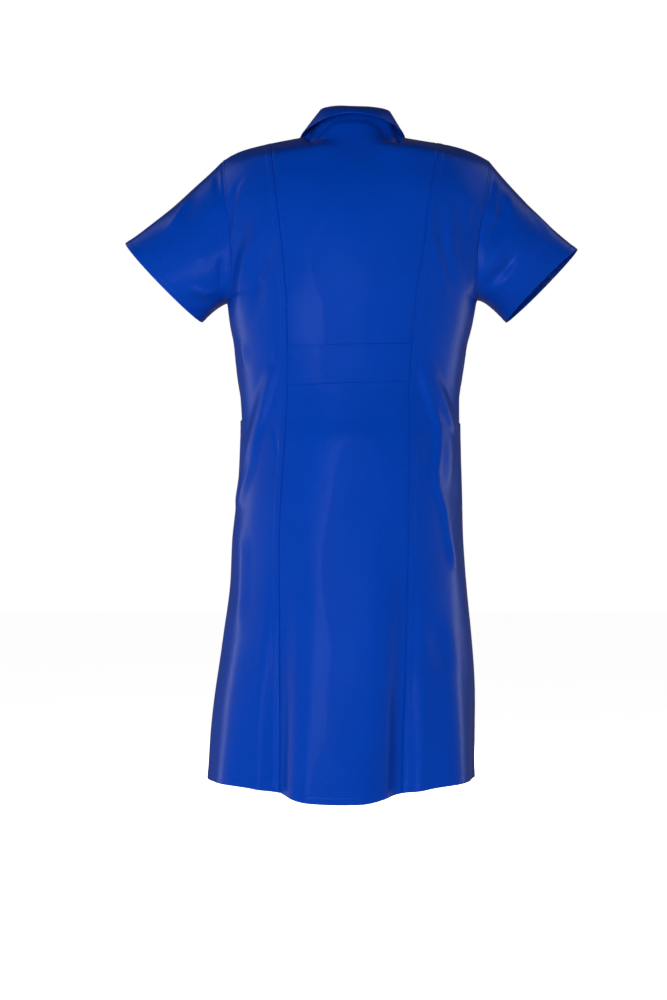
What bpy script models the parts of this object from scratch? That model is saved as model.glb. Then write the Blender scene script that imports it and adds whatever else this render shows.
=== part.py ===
"""Women's short-sleeved work coat, filled out as it is worn, with nobody in it.

The coat hangs from its neck and shoulders. The origin is the middle of the neck, level with
the tops of the shoulder seams. +Z is up, +X is the wearer's left and -Y is the front.
All sizes in the tables are millimetres, and the meshes are made in metres.
"""

import math
from typing import NamedTuple

import bmesh
import bpy
from mathutils import Matrix, Vector
from mathutils.kdtree import KDTree

MM = 0.001

# Cloth and seams
CLOTH = 1.5             # wall of every piece
SEAM_GAP = 0.3          # between two pieces that are sewn to each other
LAYER_GAP = 0.3         # between a panel and what is sewn onto it
LAP_GAP = 1.2           # between the two fronts where the right one laps over the left
SAME_PLACE = 0.02       # points of two pieces that lie this near are one place of a seam

# Neck and shoulders
NECK_LEAN = -4.0        # the neck stands this far from the middle, towards the wearer's right
NECK_HALF_WIDTH = 74.0
NECK_BACK_DEPTH = 58.0
NECK_BACK_RISE = 8.0
NECK_FRONT_DEPTH = 76.0
NECK_FRONT_DROP = 72.0
SHOULDER_LEAN = -9.0
SHOULDER_HALF_WIDTH = 201.0
SHOULDER_SLOPE = 22.0   # even fall of the shoulder seam from the neck to its tip
SHOULDER_ROUND = 14.0   # the further fall where it rounds over at the tip
SHOULDER_FORWARD = 6.0  # the seam runs this far forward at its tip
SHOULDER_SEAM_LEFT = 127.0
SHOULDER_SEAM_RIGHT = 120.0

# Front closing, the wearer's right over the left
LAP = 20.0              # each front passes the middle by this much
LAP_EASE = 25.0         # width over which the right front comes down again from the lap
BUTTON_COUNT = 7
BUTTON_TOP_Z = -102.0
BUTTON_SPACING = 96.0
BUTTON_RADIUS = 9.0
BUTTON_THICKNESS = 3.2
BUTTON_SIDES = 16
BUTTON_STAND = 0.7      # the thread lets the button stand this far off the cloth
# Corners of the button's section, as shares of its radius and of its thickness
BUTTON_SECTION = ((0.8, 0.0), (1.0, 0.45), (0.86, 1.0), (0.62, 0.72))

# How rows run: below 1 makes a row squarer than an ellipse, as the section of a body is
ROUNDNESS = 0.87

# Where columns cross a half row: 0 is the middle, 1 the princess seam, 2 the side seam or armhole
NECK_STATION = 0.6      # the column that ends at the top of the shoulder seam
NECK_COLUMNS = 6
YOKE_COLUMNS = 3
SIDE_COLUMNS = 6
FRONT_FAN = 0.38        # how far the front's columns fan out below the neck
FULL_FAN_TURN = 45.0    # a row that turns only this much would be fanned out in full
QUARTER_TURN = 90.0
LAP_COLUMNS = 2


class Row(NamedTuple):
    """One crossing of the back or front, from its middle out to the side seam or armhole."""

    middle_z: float
    side_z: float
    lean: float         # the row's middle stands this far towards the wearer's left
    half_width: float
    side_y: float       # how far behind or before the side seam the row's end stands
    depth: float        # of its middle behind or before the side seam
    turn: float         # degrees through which the row bends from its middle to its end
    seam_left: float    # from the row's middle to each princess seam
    seam_right: float
    steps: int          # mesh rows up to the next row


#       middle   side  lean  width   end depth turn  left right steps
BACK_ROWS = (
    Row(-967.0, -957.0, 12.7, 200.0, 0.0, 139.0, 90, 93.0, 89.0, 2),
    Row(-892.0, -888.0, 10.5, 196.5, 0.0, 138.0, 90, 94.0, 88.0, 2),
    Row(-820.0, -818.0, 7.5, 192.0, 0.0, 136.0, 90, 96.0, 86.5, 2),
    Row(-748.0, -748.0, 4.5, 184.5, 0.0, 134.0, 90, 98.0, 84.5, 2),
    Row(-676.0, -676.0, 2.5, 176.5, 0.0, 132.0, 90, 99.5, 83.5, 2),
    Row(-604.0, -604.0, 3.0, 172.0, 0.0, 130.0, 90, 98.5, 85.0, 2),
    Row(-532.0, -532.0, 0.5, 167.0, 0.0, 127.0, 90, 98.5, 83.5, 2),
    Row(-462.0, -462.0, -1.0, 162.5, 0.0, 120.0, 90, 96.0, 83.0, 2),
    Row(-425.0, -425.0, -1.0, 160.5, 0.0, 112.0, 90, 93.0, 83.5, 2),
    Row(-377.0, -377.0, 0.4, 163.0, 0.0, 105.0, 90, 90.0, 84.5, 2),
    Row(-323.0, -323.0, 0.0, 171.0, 0.0, 106.0, 90, 90.0, 86.5, 2),
    Row(-285.0, -285.0, -0.5, 180.0, 0.0, 112.0, 90, 91.5, 90.0, 1),
    Row(-250.0, -250.0, -1.5, 185.5, 0.0, 118.0, 90, 93.0, 92.0, 2),
    Row(-222.0, -245.0, -3.0, 182.5, 28.0, 120.5, 79, 97.0, 93.0, 2),
    Row(-195.0, -226.0, -4.0, 181.0, 47.0, 121.0, 70, 100.0, 97.0, 2),
    Row(-165.0, -192.0, -4.0, 180.5, 58.0, 120.0, 64, 103.0, 102.0, 2),
    Row(-130.0, -152.0, -5.5, 183.0, 60.0, 116.0, 61, 109.0, 104.0, 2),
    Row(-95.0, -113.0, -8.0, 190.0, 54.0, 108.0, 58, 116.0, 107.0, 2),
    Row(-60.0, -78.0, -9.5, 195.5, 38.0, 95.0, 54, 121.0, 111.0, 2),
    Row(-28.0, -52.0, -10.0, 199.5, 16.0, 78.0, 50, 125.0, 116.0, 2),
)
FRONT_ROWS = (
    Row(-960.0, -957.0, 12.7, 200.0, 0.0, 134.0, 90, 95.0, 95.0, 2),
    Row(-888.0, -888.0, 10.5, 196.5, 0.0, 132.0, 90, 95.0, 95.0, 2),
    Row(-818.0, -818.0, 7.5, 192.0, 0.0, 129.0, 90, 95.0, 95.0, 2),
    Row(-748.0, -748.0, 4.5, 184.5, 0.0, 126.0, 90, 95.0, 95.0, 2),
    Row(-676.0, -676.0, 2.5, 176.5, 0.0, 123.0, 90, 95.0, 95.0, 2),
    Row(-604.0, -604.0, 3.0, 172.0, 0.0, 120.0, 90, 94.0, 94.0, 2),
    Row(-532.0, -532.0, 0.5, 167.0, 0.0, 116.0, 90, 92.0, 92.0, 2),
    Row(-462.0, -462.0, -1.0, 162.5, 0.0, 111.0, 90, 90.0, 90.0, 2),
    Row(-425.0, -425.0, -1.0, 160.5, 0.0, 109.0, 90, 88.0, 88.0, 2),
    Row(-377.0, -377.0, 0.4, 163.0, 0.0, 110.0, 90, 88.0, 88.0, 2),
    Row(-323.0, -323.0, 0.0, 171.0, 0.0, 119.0, 90, 91.0, 91.0, 2),
    Row(-285.0, -285.0, -0.5, 180.0, 0.0, 128.0, 90, 95.0, 95.0, 1),
    Row(-250.0, -250.0, -1.5, 185.5, 0.0, 133.0, 90, 98.0, 98.0, 2),
    Row(-230.0, -245.0, -3.0, 182.5, 26.0, 133.0, 81, 99.0, 99.0, 2),
    Row(-210.0, -226.0, -4.0, 181.0, 43.0, 130.0, 73, 101.0, 100.0, 2),
    Row(-187.0, -192.0, -4.0, 180.5, 52.0, 124.0, 67, 104.0, 102.0, 2),
    Row(-160.0, -152.0, -5.5, 183.0, 52.0, 114.0, 62, 109.0, 104.0, 2),
    Row(-133.0, -113.0, -8.0, 190.0, 44.0, 103.0, 58, 116.0, 107.0, 2),
    Row(-108.0, -78.0, -9.5, 195.5, 29.0, 93.0, 54, 121.0, 111.0, 2),
    Row(-88.0, -52.0, -10.0, 199.5, 12.0, 84.0, 50, 125.0, 116.0, 2),
)
HEM_LIFT = 9.0          # the hem swings up between its middle and its side
UNDERARM_ROW = 12       # the side seam ends here and the armhole starts
BELT_ROWS = (9, 10)     # the half belt lies between these two rows
POCKET_FOOT_ROW = 5     # the hip pockets lie between these two rows
POCKET_MOUTH_ROW = 8
POCKET_COLUMNS = 8      # of the front, counted from the side seam
POCKET_MOUTH_STAND = 2.0


class Fold(NamedTuple):
    """A long soft ridge, or a valley where its rise is negative.

    Its angle is measured round the coat: 0 at the middle of the back, 90 at the wearer's left
    side seam and -90 at the right one.
    """

    top_angle: float
    top_z: float
    foot_angle: float
    foot_z: float
    half_angle: float
    rise: float
    to_hem: bool        # grows all the way to the hem instead of dying away at both ends


FOLDS = (
    Fold(0.0, -500.0, 3.0, -968.0, 27.0, 13.0, True),
    Fold(31.0, -560.0, 30.0, -968.0, 10.0, -11.0, True),
    Fold(-27.0, -560.0, -25.0, -968.0, 10.0, -12.0, True),
    Fold(54.0, -600.0, 55.0, -968.0, 15.0, 7.0, True),
    Fold(-48.0, -580.0, -50.0, -968.0, 15.0, 7.0, True),
    Fold(-76.0, -640.0, -74.0, -968.0, 14.0, -5.0, True),
    Fold(128.0, -560.0, 126.0, -968.0, 17.0, 9.0, True),
    Fold(151.0, -640.0, 150.0, -968.0, 12.0, -6.0, True),
    Fold(-122.0, -590.0, -124.0, -968.0, 18.0, 10.0, True),
    Fold(-150.0, -620.0, -149.0, -968.0, 13.0, -7.0, True),
    Fold(38.0, -330.0, 76.0, -560.0, 9.0, 4.0, False),
    Fold(-38.0, -330.0, -70.0, -470.0, 9.0, 4.0, False),
    Fold(-60.0, -410.0, -50.0, -560.0, 9.0, 3.5, False),
    Fold(48.0, -90.0, 70.0, -262.0, 9.0, -4.5, False),
    Fold(-52.0, -80.0, -58.0, -250.0, 9.0, -3.5, False),
    Fold(146.0, -235.0, 104.0, -130.0, 10.0, -4.0, False),
    Fold(-144.0, -240.0, -106.0, -120.0, 10.0, -4.0, False),
    Fold(142.0, -330.0, 112.0, -520.0, 9.0, 4.0, False),
    Fold(-140.0, -330.0, -116.0, -540.0, 9.0, 4.0, False),
)
MEAN_HALF_WIDTH = 180.0
MEAN_DEPTH = 128.0


class Sleeve(NamedTuple):
    """A short set-in sleeve: the top and bottom of its cuff, seen from the back."""

    top_x: float
    top_z: float
    bottom_x: float
    bottom_z: float
    middle_y: float
    half_depth: float
    front_reach: float  # the front of the cuff reaches this much further out than the back


SLEEVES = {
    "sleeve_left": Sleeve(336.0, -158.0, 223.0, -276.0, -8.0, 50.0, -14.0),
    "sleeve_right": Sleeve(-342.0, -168.0, -235.0, -276.0, -8.0, 48.0, 9.0),
}
SLEEVE_RINGS = 5
SLEEVE_SWELL = 5.0      # of the back and front of each sleeve between armhole and cuff


class CollarStation(NamedTuple):
    """The collar's fold and outer edge at one place between the middles of back and front."""

    fold_x: float
    fold_y: float
    fold_z: float
    edge_x: float
    edge_y: float
    edge_z: float


COLLAR = (
    CollarStation(0.0, 45.0, 34.0, 0.0, 85.0, 14.0),
    CollarStation(30.0, 38.5, 35.5, 38.0, 73.0, 10.0),
    CollarStation(50.0, 21.0, 33.5, 62.0, 45.0, 3.5),
    CollarStation(54.0, -1.0, 26.0, 74.0, 7.0, 3.0),
    CollarStation(48.0, -32.0, 6.0, 84.0, -42.0, -25.0),
    CollarStation(27.0, -59.0, -30.0, 75.0, -86.0, -76.0),
    CollarStation(0.0, -71.0, -52.0, 37.0, -103.0, -108.0),
)
COLLAR_STEPS = 2        # columns from each station to the next
COLLAR_TURN = 6.5       # how much of the stand and the leaf the rounded fold takes up
COLLAR_TURN_STEPS = 4
COLLAR_LEAF_STEPS = 3
COLLAR_LEAF_BOW = 2.5
COLLAR_END_GAP = 1.0
NECK_INSIDE = Vector((NECK_LEAN, -9.0, -30.0))   # the collar's stand faces away from here

# Colours are linear RGB
CLOTH_COLOUR = (0.004, 0.038, 0.39, 1.0)
CLOTH_ROUGHNESS = 0.78
BUTTON_COLOUR = (0.006, 0.03, 0.26, 1.0)
BUTTON_ROUGHNESS = 0.35
SHARP_ANGLE = 50.0      # faces that meet at more than this are shaded with an edge


def clear_scene():
    """Remove whatever the scene holds."""
    for item in list(bpy.data.objects):
        bpy.data.objects.remove(item, do_unlink=True)


def make_material(name, colour, roughness):
    """Make a plain non-metallic material."""
    material = bpy.data.materials.new(name)
    material.use_nodes = True
    shader = material.node_tree.nodes["Principled BSDF"]
    shader.inputs["Base Color"].default_value = colour
    shader.inputs["Roughness"].default_value = roughness
    shader.inputs["Metallic"].default_value = 0.0
    return material


def ease(value):
    """Go from 0 to 1 with a soft start and end."""
    value = min(max(value, 0.0), 1.0)
    return value * value * (3.0 - 2.0 * value)


def spread(first, last, count):
    """Give count + 1 even values from first to last."""
    return [first + (last - first) * index / count for index in range(count + 1)]


def curve_through(points, steps):
    """Run a smooth curve through points, with its own number of steps after each of them."""
    lengths = [(after - before).length for before, after in zip(points, points[1:])]
    slopes = [(points[1] - points[0]) / lengths[0]]
    for index in range(1, len(points) - 1):
        reach = lengths[index - 1] + lengths[index]
        slopes.append((points[index + 1] - points[index - 1]) / reach)
    slopes.append((points[-1] - points[-2]) / lengths[-1])

    curve = [points[0].copy()]
    for index, length in enumerate(lengths):
        for step in range(1, steps[index] + 1):
            part = step / steps[index]
            square = part * part
            cube = square * part
            curve.append(
                points[index] * (2.0 * cube - 3.0 * square + 1.0)
                + slopes[index] * length * (cube - 2.0 * square + part)
                + points[index + 1] * (3.0 * square - 2.0 * cube)
                + slopes[index + 1] * length * (cube - square)
            )
    return curve


def row_point(row, hand, facing, station):
    """Place a station of a row.

    hand is 1 on the wearer's left and -1 on the right, facing is 1 for the back and -1 for the
    front. A station below 0 lies past the middle, in the front's lap.
    """
    turn = math.radians(row.turn)
    full_across = math.sin(turn) ** ROUNDNESS
    end_bend = math.cos(turn) ** ROUNDNESS
    seam = row.seam_left if hand > 0 else row.seam_right

    def bend_at(across):
        return math.asin((across / row.half_width * full_across) ** (1.0 / ROUNDNESS))

    side = hand
    if station < 0.0:
        bend = bend_at(-station * LAP)
        side = -hand
    elif station <= 1.0:
        fan = 0.0
        if facing < 0:
            fan = FRONT_FAN * (QUARTER_TURN - row.turn) / (QUARTER_TURN - FULL_FAN_TURN)
        bend = bend_at(station ** (1.0 - fan) * seam)
    else:
        seam_bend = bend_at(seam)
        bend = seam_bend + (station - 1.0) * (turn - seam_bend)

    across = math.sin(bend) ** ROUNDNESS / full_across
    outward = (math.cos(bend) ** ROUNDNESS - end_bend) / (1.0 - end_bend)
    is_hem = row in (BACK_ROWS[0], FRONT_ROWS[0])
    lift = HEM_LIFT * math.sin(2.0 * bend) ** 2 if is_hem else 0.0
    return Vector((
        row.lean + side * row.half_width * across,
        facing * (row.side_y + (row.depth - row.side_y) * outward),
        row.middle_z + (row.side_z - row.middle_z) * across * across + lift,
    ))


def neck_point(hand, facing, turn):
    """Place a point of the neck seam: turn is 0 at its middle and a quarter at the shoulder."""
    depth = NECK_BACK_DEPTH if facing > 0 else NECK_FRONT_DEPTH
    rise = NECK_BACK_RISE if facing > 0 else -NECK_FRONT_DROP
    return Vector((
        NECK_LEAN + hand * NECK_HALF_WIDTH * math.sin(turn),
        facing * depth * math.cos(turn),
        rise * math.cos(turn),
    ))


def top_point(hand, facing, station):
    """Place a station of the top edge, which is the neck seam and then the shoulder seam."""
    if station < 0.0:
        return neck_point(-hand, facing, math.asin(-station * LAP / NECK_HALF_WIDTH))
    if station <= NECK_STATION:
        return neck_point(hand, facing, math.radians(QUARTER_TURN) * station / NECK_STATION)

    neck_x = NECK_LEAN + hand * NECK_HALF_WIDTH
    tip_x = SHOULDER_LEAN + hand * SHOULDER_HALF_WIDTH
    seam_x = SHOULDER_LEAN + (SHOULDER_SEAM_LEFT if hand > 0 else -SHOULDER_SEAM_RIGHT)
    if station <= 1.0:
        across = (station - NECK_STATION) / (1.0 - NECK_STATION) * (seam_x - neck_x)
    else:
        across = seam_x - neck_x + (station - 1.0) * (tip_x - seam_x)
    part = across / (tip_x - neck_x)
    return Vector((
        neck_x + across,
        -SHOULDER_FORWARD * part,
        -SHOULDER_SLOPE * part - SHOULDER_ROUND * part ** 5,
    ))


def fold_rise(point):
    """Add up what the folds lift a point by."""
    angle = math.degrees(math.atan2(point.x / MEAN_HALF_WIDTH, point.y / MEAN_DEPTH))
    total = 0.0
    for fold in FOLDS:
        part = (point.z - fold.top_z) / (fold.foot_z - fold.top_z)
        if part <= 0.0 or (part >= 1.0 and not fold.to_hem):
            continue
        line = fold.top_angle + (fold.foot_angle - fold.top_angle) * part
        off_line = (angle - line + 180.0) % 360.0 - 180.0
        if abs(off_line) >= fold.half_angle:
            continue
        across = 0.5 + 0.5 * math.cos(math.pi * off_line / fold.half_angle)
        along = ease(part) if fold.to_hem else math.sin(math.pi * part) ** 2
        total += fold.rise * across * along
    return total


def with_folds(point):
    """Move a point of the plain form outwards, level, by the folds that cross it."""
    outward = Vector((point.x / MEAN_HALF_WIDTH ** 2, point.y / MEAN_DEPTH ** 2, 0.0))
    return point + outward.normalized() * fold_rise(point)


def column(hand, facing, station):
    """Run one column of the back or front from the hem to the top edge."""
    rows = BACK_ROWS if facing > 0 else FRONT_ROWS
    points = [row_point(row, hand, facing, station) for row in rows]
    points.append(top_point(hand, facing, station))
    steps = [row.steps for row in rows]
    if station < 2.0:
        curve = curve_through(points, steps)
    else:
        # The side seam and the armhole are two edges that meet in a corner under the arm.
        cut = UNDERARM_ROW
        curve = curve_through(points[:cut + 1], steps[:cut])
        curve += curve_through(points[cut:], steps[cut:])[1:]
    return [with_folds(point) for point in curve]


def panel_grid(columns):
    """Turn columns into rows of points, the hem first."""
    return [list(row) for row in zip(*columns)]


def mesh_row(table_row):
    """Give the number of the mesh row that lies on a row of the tables."""
    return sum(row.steps for row in BACK_ROWS[:table_row])


def grid_normals(grid, centre, closed=False):
    """Work out the outward normals of a grid. Its first row has them point away from centre."""
    rows = len(grid)
    columns = len(grid[0])
    normals = []
    for i in range(rows):
        line = []
        for j in range(columns):
            along = grid[min(i + 1, rows - 1)][j] - grid[max(i - 1, 0)][j]
            if closed:
                across = grid[i][(j + 1) % columns] - grid[i][j - 1]
            else:
                across = grid[i][min(j + 1, columns - 1)] - grid[i][max(j - 1, 0)]
            line.append(across.cross(along).normalized())
        normals.append(line)
    facing = sum(normal.dot(point - centre) for normal, point in zip(normals[0], grid[0]))
    if facing < 0.0:
        normals = [[-normal for normal in line] for line in normals]
    return normals


def join_normals(pieces):
    """Give every place where pieces meet one common normal, so that their edges face squarely."""
    places = [
        (point, line, index)
        for grid, normals in pieces
        for points, line in zip(grid, normals)
        for index, point in enumerate(points)
    ]
    finder = KDTree(len(places))
    for number, (point, _, _) in enumerate(places):
        finder.insert(point, number)
    finder.balance()
    common = []
    for point, _, _ in places:
        met = [places[number] for _, number, _ in finder.find_range(point, SAME_PLACE)]
        common.append(sum((line[index] for _, line, index in met), Vector()).normalized())
    for (_, line, index), normal in zip(places, common):
        line[index] = normal


def drawn_edge(points, normals, inner, gap):
    """Move an edge's points square to it, along the cloth, towards the points next to them."""
    moved = []
    for index, (point, normal) in enumerate(zip(points, normals)):
        after = points[min(index + 1, len(points) - 1)]
        before = points[max(index - 1, 0)]
        inward = normal.cross(after - before).normalized()
        if inward.dot(inner[index] - point) < 0.0:
            inward = -inward
        moved.append(point + inward * gap)
    return moved


def draw_back(grid, normals, top=0.0, foot=0.0, sides=0.0):
    """Pull the edges of a grid back from the seams they share."""
    if foot:
        grid[0] = drawn_edge(grid[0], normals[0], grid[1], foot)
    if top:
        grid[-1] = drawn_edge(grid[-1], normals[-1], grid[-2], top)
    if sides:
        for edge, inside in ((0, 1), (-1, -2)):
            points = drawn_edge(
                [line[edge] for line in grid],
                [line[edge] for line in normals],
                [line[inside] for line in grid],
                sides,
            )
            for line, point in zip(grid, points):
                line[edge] = point


def shifted(grid, normals, distance):
    """Move a grid along its normals. The distance may be one number or one for each row."""
    if isinstance(distance, (int, float)):
        distance = [distance] * len(grid)
    return [
        [point + normal * way for point, normal in zip(points, line)]
        for points, line, way in zip(grid, normals, distance)
    ]


def add_object(name, mesh, material):
    """Put a mesh into the scene as one closed piece with its faces pointing out."""
    bmesh.ops.recalc_face_normals(mesh, faces=mesh.faces)
    data = bpy.data.meshes.new(name)
    mesh.to_mesh(data)
    mesh.free()
    data.shade_smooth()
    data.set_sharp_from_angle(angle=math.radians(SHARP_ANGLE))
    data.materials.append(material)
    item = bpy.data.objects.new(name, data)
    bpy.context.scene.collection.objects.link(item)
    return item


def add_wall(name, outer, inner, material, closed=False):
    """Make a cloth wall between two grids of the same layout."""
    mesh = bmesh.new()
    skins = [[[mesh.verts.new(point * MM) for point in row] for row in grid]
             for grid in (outer, inner)]
    rows = len(outer)
    columns = len(outer[0])
    last_column = columns if closed else columns - 1

    def quad(a, b, c, d):
        mesh.faces.new((a, b, c))
        mesh.faces.new((a, c, d))

    def rim(outer_start, outer_end, inner_start, inner_end):
        # Split from the lower outer corner, so that the edges of a seam match.
        if outer_start.co.z > outer_end.co.z:
            quad(outer_end, outer_start, inner_start, inner_end)
        else:
            quad(outer_start, outer_end, inner_end, inner_start)

    for skin in skins:
        for i in range(rows - 1):
            for j in range(last_column):
                k = (j + 1) % columns
                quad(skin[i][j], skin[i][k], skin[i + 1][k], skin[i + 1][j])
    front, back = skins
    for i in (0, rows - 1):
        for j in range(last_column):
            k = (j + 1) % columns
            rim(front[i][j], front[i][k], back[i][j], back[i][k])
    if not closed:
        for j in (0, columns - 1):
            for i in range(rows - 1):
                rim(front[i][j], front[i + 1][j], back[i][j], back[i + 1][j])
    return add_object(name, mesh, material)


def centre_stations():
    """Give the stations from the middle to the princess seam."""
    neck = spread(0.0, NECK_STATION, NECK_COLUMNS)
    return neck + spread(NECK_STATION, 1.0, YOKE_COLUMNS)[1:]


def side_stations():
    """Give the stations from the princess seam to the side seam or armhole."""
    return spread(1.0, 2.0, SIDE_COLUMNS)


def back_centre_grid():
    """Lay out the middle of the back, from the right princess seam to the left one."""
    stations = centre_stations()
    right = [column(-1, 1, station) for station in reversed(stations)]
    left = [column(1, 1, station) for station in stations[1:]]
    return panel_grid(right + left)


def back_side_grid(hand):
    """Lay out a side of the back, from the princess seam outwards."""
    return panel_grid([column(hand, 1, station) for station in side_stations()])


def front_grid(hand):
    """Lay out a front, from the edge of its lap to the side seam."""
    stations = spread(-1.0, 0.0, LAP_COLUMNS)[:-1] + centre_stations() + side_stations()[1:]
    return panel_grid([column(hand, -1, station) for station in stations])


def lift_lap(grid, normals):
    """Raise the right front clear of the left one where it laps over."""
    lift = CLOTH + LAP_GAP
    for points, line in zip(grid, normals):
        middle = points[LAP_COLUMNS].x
        for j, (point, normal) in enumerate(zip(points, line)):
            past_lap = middle - point.x - LAP
            points[j] = point + normal * lift * (1.0 - ease(past_lap / LAP_EASE))


def armhole_ring(back_side, front):
    """Read the armhole's edge round from the underarm: up the back and down the front."""
    bottom = mesh_row(UNDERARM_ROW)
    up_back = [row[-1] for row in back_side[bottom:]]
    down_front = [row[-1] for row in front[bottom:]][::-1]
    return [point.copy() for point in up_back + down_front[1:-1]]


def sleeve_grid(ring, sleeve):
    """Loft a sleeve from the armhole to the oval of its cuff."""
    top = Vector((sleeve.top_x, sleeve.middle_y, sleeve.top_z))
    bottom = Vector((sleeve.bottom_x, sleeve.middle_y, sleeve.bottom_z))
    middle = (top + bottom) / 2.0
    half_height = (top - bottom) / 2.0
    outward = Vector((half_height.z, 0.0, -half_height.x)).normalized()
    if outward.x * sleeve.top_x < 0.0:
        outward = -outward
    half_depth = Vector((0.0, sleeve.half_depth, 0.0)) - outward * sleeve.front_reach / 2.0

    grid = []
    for part in spread(0.0, 1.0, SLEEVE_RINGS):
        line = []
        for index, start in enumerate(ring):
            angle = 2.0 * math.pi * index / len(ring)
            arm = half_depth * math.sin(angle) - half_height * math.cos(angle)
            swell = Vector((0.0, SLEEVE_SWELL * math.sin(angle) * 4.0 * part * (1.0 - part), 0.0))
            line.append(start.lerp(middle + arm, part) + swell)
        grid.append(line)
    return grid


def collar_profile(seam, fold, edge):
    """Run the collar from the neck seam up its stand, over the fold and down its leaf.

    The line is the outer side of the stand, which is the under side of the leaf.
    """
    turn_in = fold + (seam - fold).normalized() * COLLAR_TURN
    turn_out = fold + (edge - fold).normalized() * COLLAR_TURN
    line = [seam, seam.lerp(turn_in, 0.5)]
    for part in spread(0.0, 1.0, COLLAR_TURN_STEPS):
        line.append(turn_in.lerp(fold, part).lerp(fold.lerp(turn_out, part), part))
    for part in spread(0.0, 1.0, COLLAR_LEAF_STEPS)[1:]:
        bow = Vector((0.0, 0.0, COLLAR_LEAF_BOW * 4.0 * part * (1.0 - part)))
        line.append(turn_out.lerp(edge, part) + bow)
    return line


def half_collar(hand):
    """Lay out half of the collar, from the middle of the back to the middle of the front."""
    def placed(x, y, z):
        return Vector((NECK_LEAN + hand * x, y, z))

    steps = [COLLAR_STEPS] * (len(COLLAR) - 1)
    folds = curve_through([placed(s.fold_x, s.fold_y, s.fold_z) for s in COLLAR], steps)
    edges = curve_through([placed(s.edge_x, s.edge_y, s.edge_z) for s in COLLAR], steps)
    stations = spread(0.0, NECK_STATION, NECK_COLUMNS)
    seams = [top_point(hand, 1, station) for station in stations]
    seams += [top_point(hand, -1, station) for station in reversed(stations[:-1])]
    return [collar_profile(*points) for points in zip(seams, folds, edges)]


def add_button(name, place, outward, material):
    """Turn a button with a raised rim and stand it on the cloth."""
    mesh = bmesh.new()
    turned = Matrix.Translation(place * MM) @ outward.to_track_quat("Z", "Y").to_matrix().to_4x4()
    rings = []
    for width_share, height_share in BUTTON_SECTION:
        radius = BUTTON_RADIUS * width_share
        height = BUTTON_THICKNESS * height_share
        ring = []
        for side in range(BUTTON_SIDES):
            angle = 2.0 * math.pi * side / BUTTON_SIDES
            local = Vector((radius * math.cos(angle), radius * math.sin(angle), height))
            ring.append(mesh.verts.new(turned @ (local * MM)))
        rings.append(ring)
    mesh.faces.new(rings[0])
    mesh.faces.new(rings[-1])
    for lower, upper in zip(rings, rings[1:]):
        for side in range(BUTTON_SIDES):
            after = (side + 1) % BUTTON_SIDES
            mesh.faces.new((lower[side], lower[after], upper[after], upper[side]))
    add_object(name, mesh, material)


def add_buttons(grid, normals, material):
    """Sew the buttons down the middle of the right front."""
    for number in range(BUTTON_COUNT):
        height = BUTTON_TOP_Z - number * BUTTON_SPACING
        for lower, upper, line in zip(grid, grid[1:], normals):
            start, end = lower[LAP_COLUMNS], upper[LAP_COLUMNS]
            if start.z <= height < end.z:
                place = start.lerp(end, (height - start.z) / (end.z - start.z))
                outward = line[LAP_COLUMNS]
                stand = place + outward * BUTTON_STAND
                add_button(f"button_{number + 1}", stand, outward, material)
                break


def add_belt(grid, normals, material):
    """Lay the half belt on the middle of the back, between the princess seams."""
    foot, top = (mesh_row(row) for row in BELT_ROWS)
    base = grid[foot:top + 1]
    lines = normals[foot:top + 1]
    outer = shifted(base, lines, LAYER_GAP + CLOTH)
    inner = shifted(base, lines, LAYER_GAP)
    add_wall("half_belt", outer, inner, material)


def add_pocket(name, grid, normals, material):
    """Lay a patch pocket on a front, from the side seam forwards, with its mouth standing off."""
    foot = mesh_row(POCKET_FOOT_ROW)
    top = mesh_row(POCKET_MOUTH_ROW)
    base = [row[-POCKET_COLUMNS:] for row in grid[foot:top + 1]]
    lines = [line[-POCKET_COLUMNS:] for line in normals[foot:top + 1]]
    last = len(base) - 1
    stand = [LAYER_GAP + (POCKET_MOUTH_STAND - LAYER_GAP) * (i / last) ** 3
             for i in range(last + 1)]
    outer = shifted(base, lines, [way + CLOTH for way in stand])
    inner = shifted(base, lines, stand)
    add_wall(name, outer, inner, material)


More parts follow.
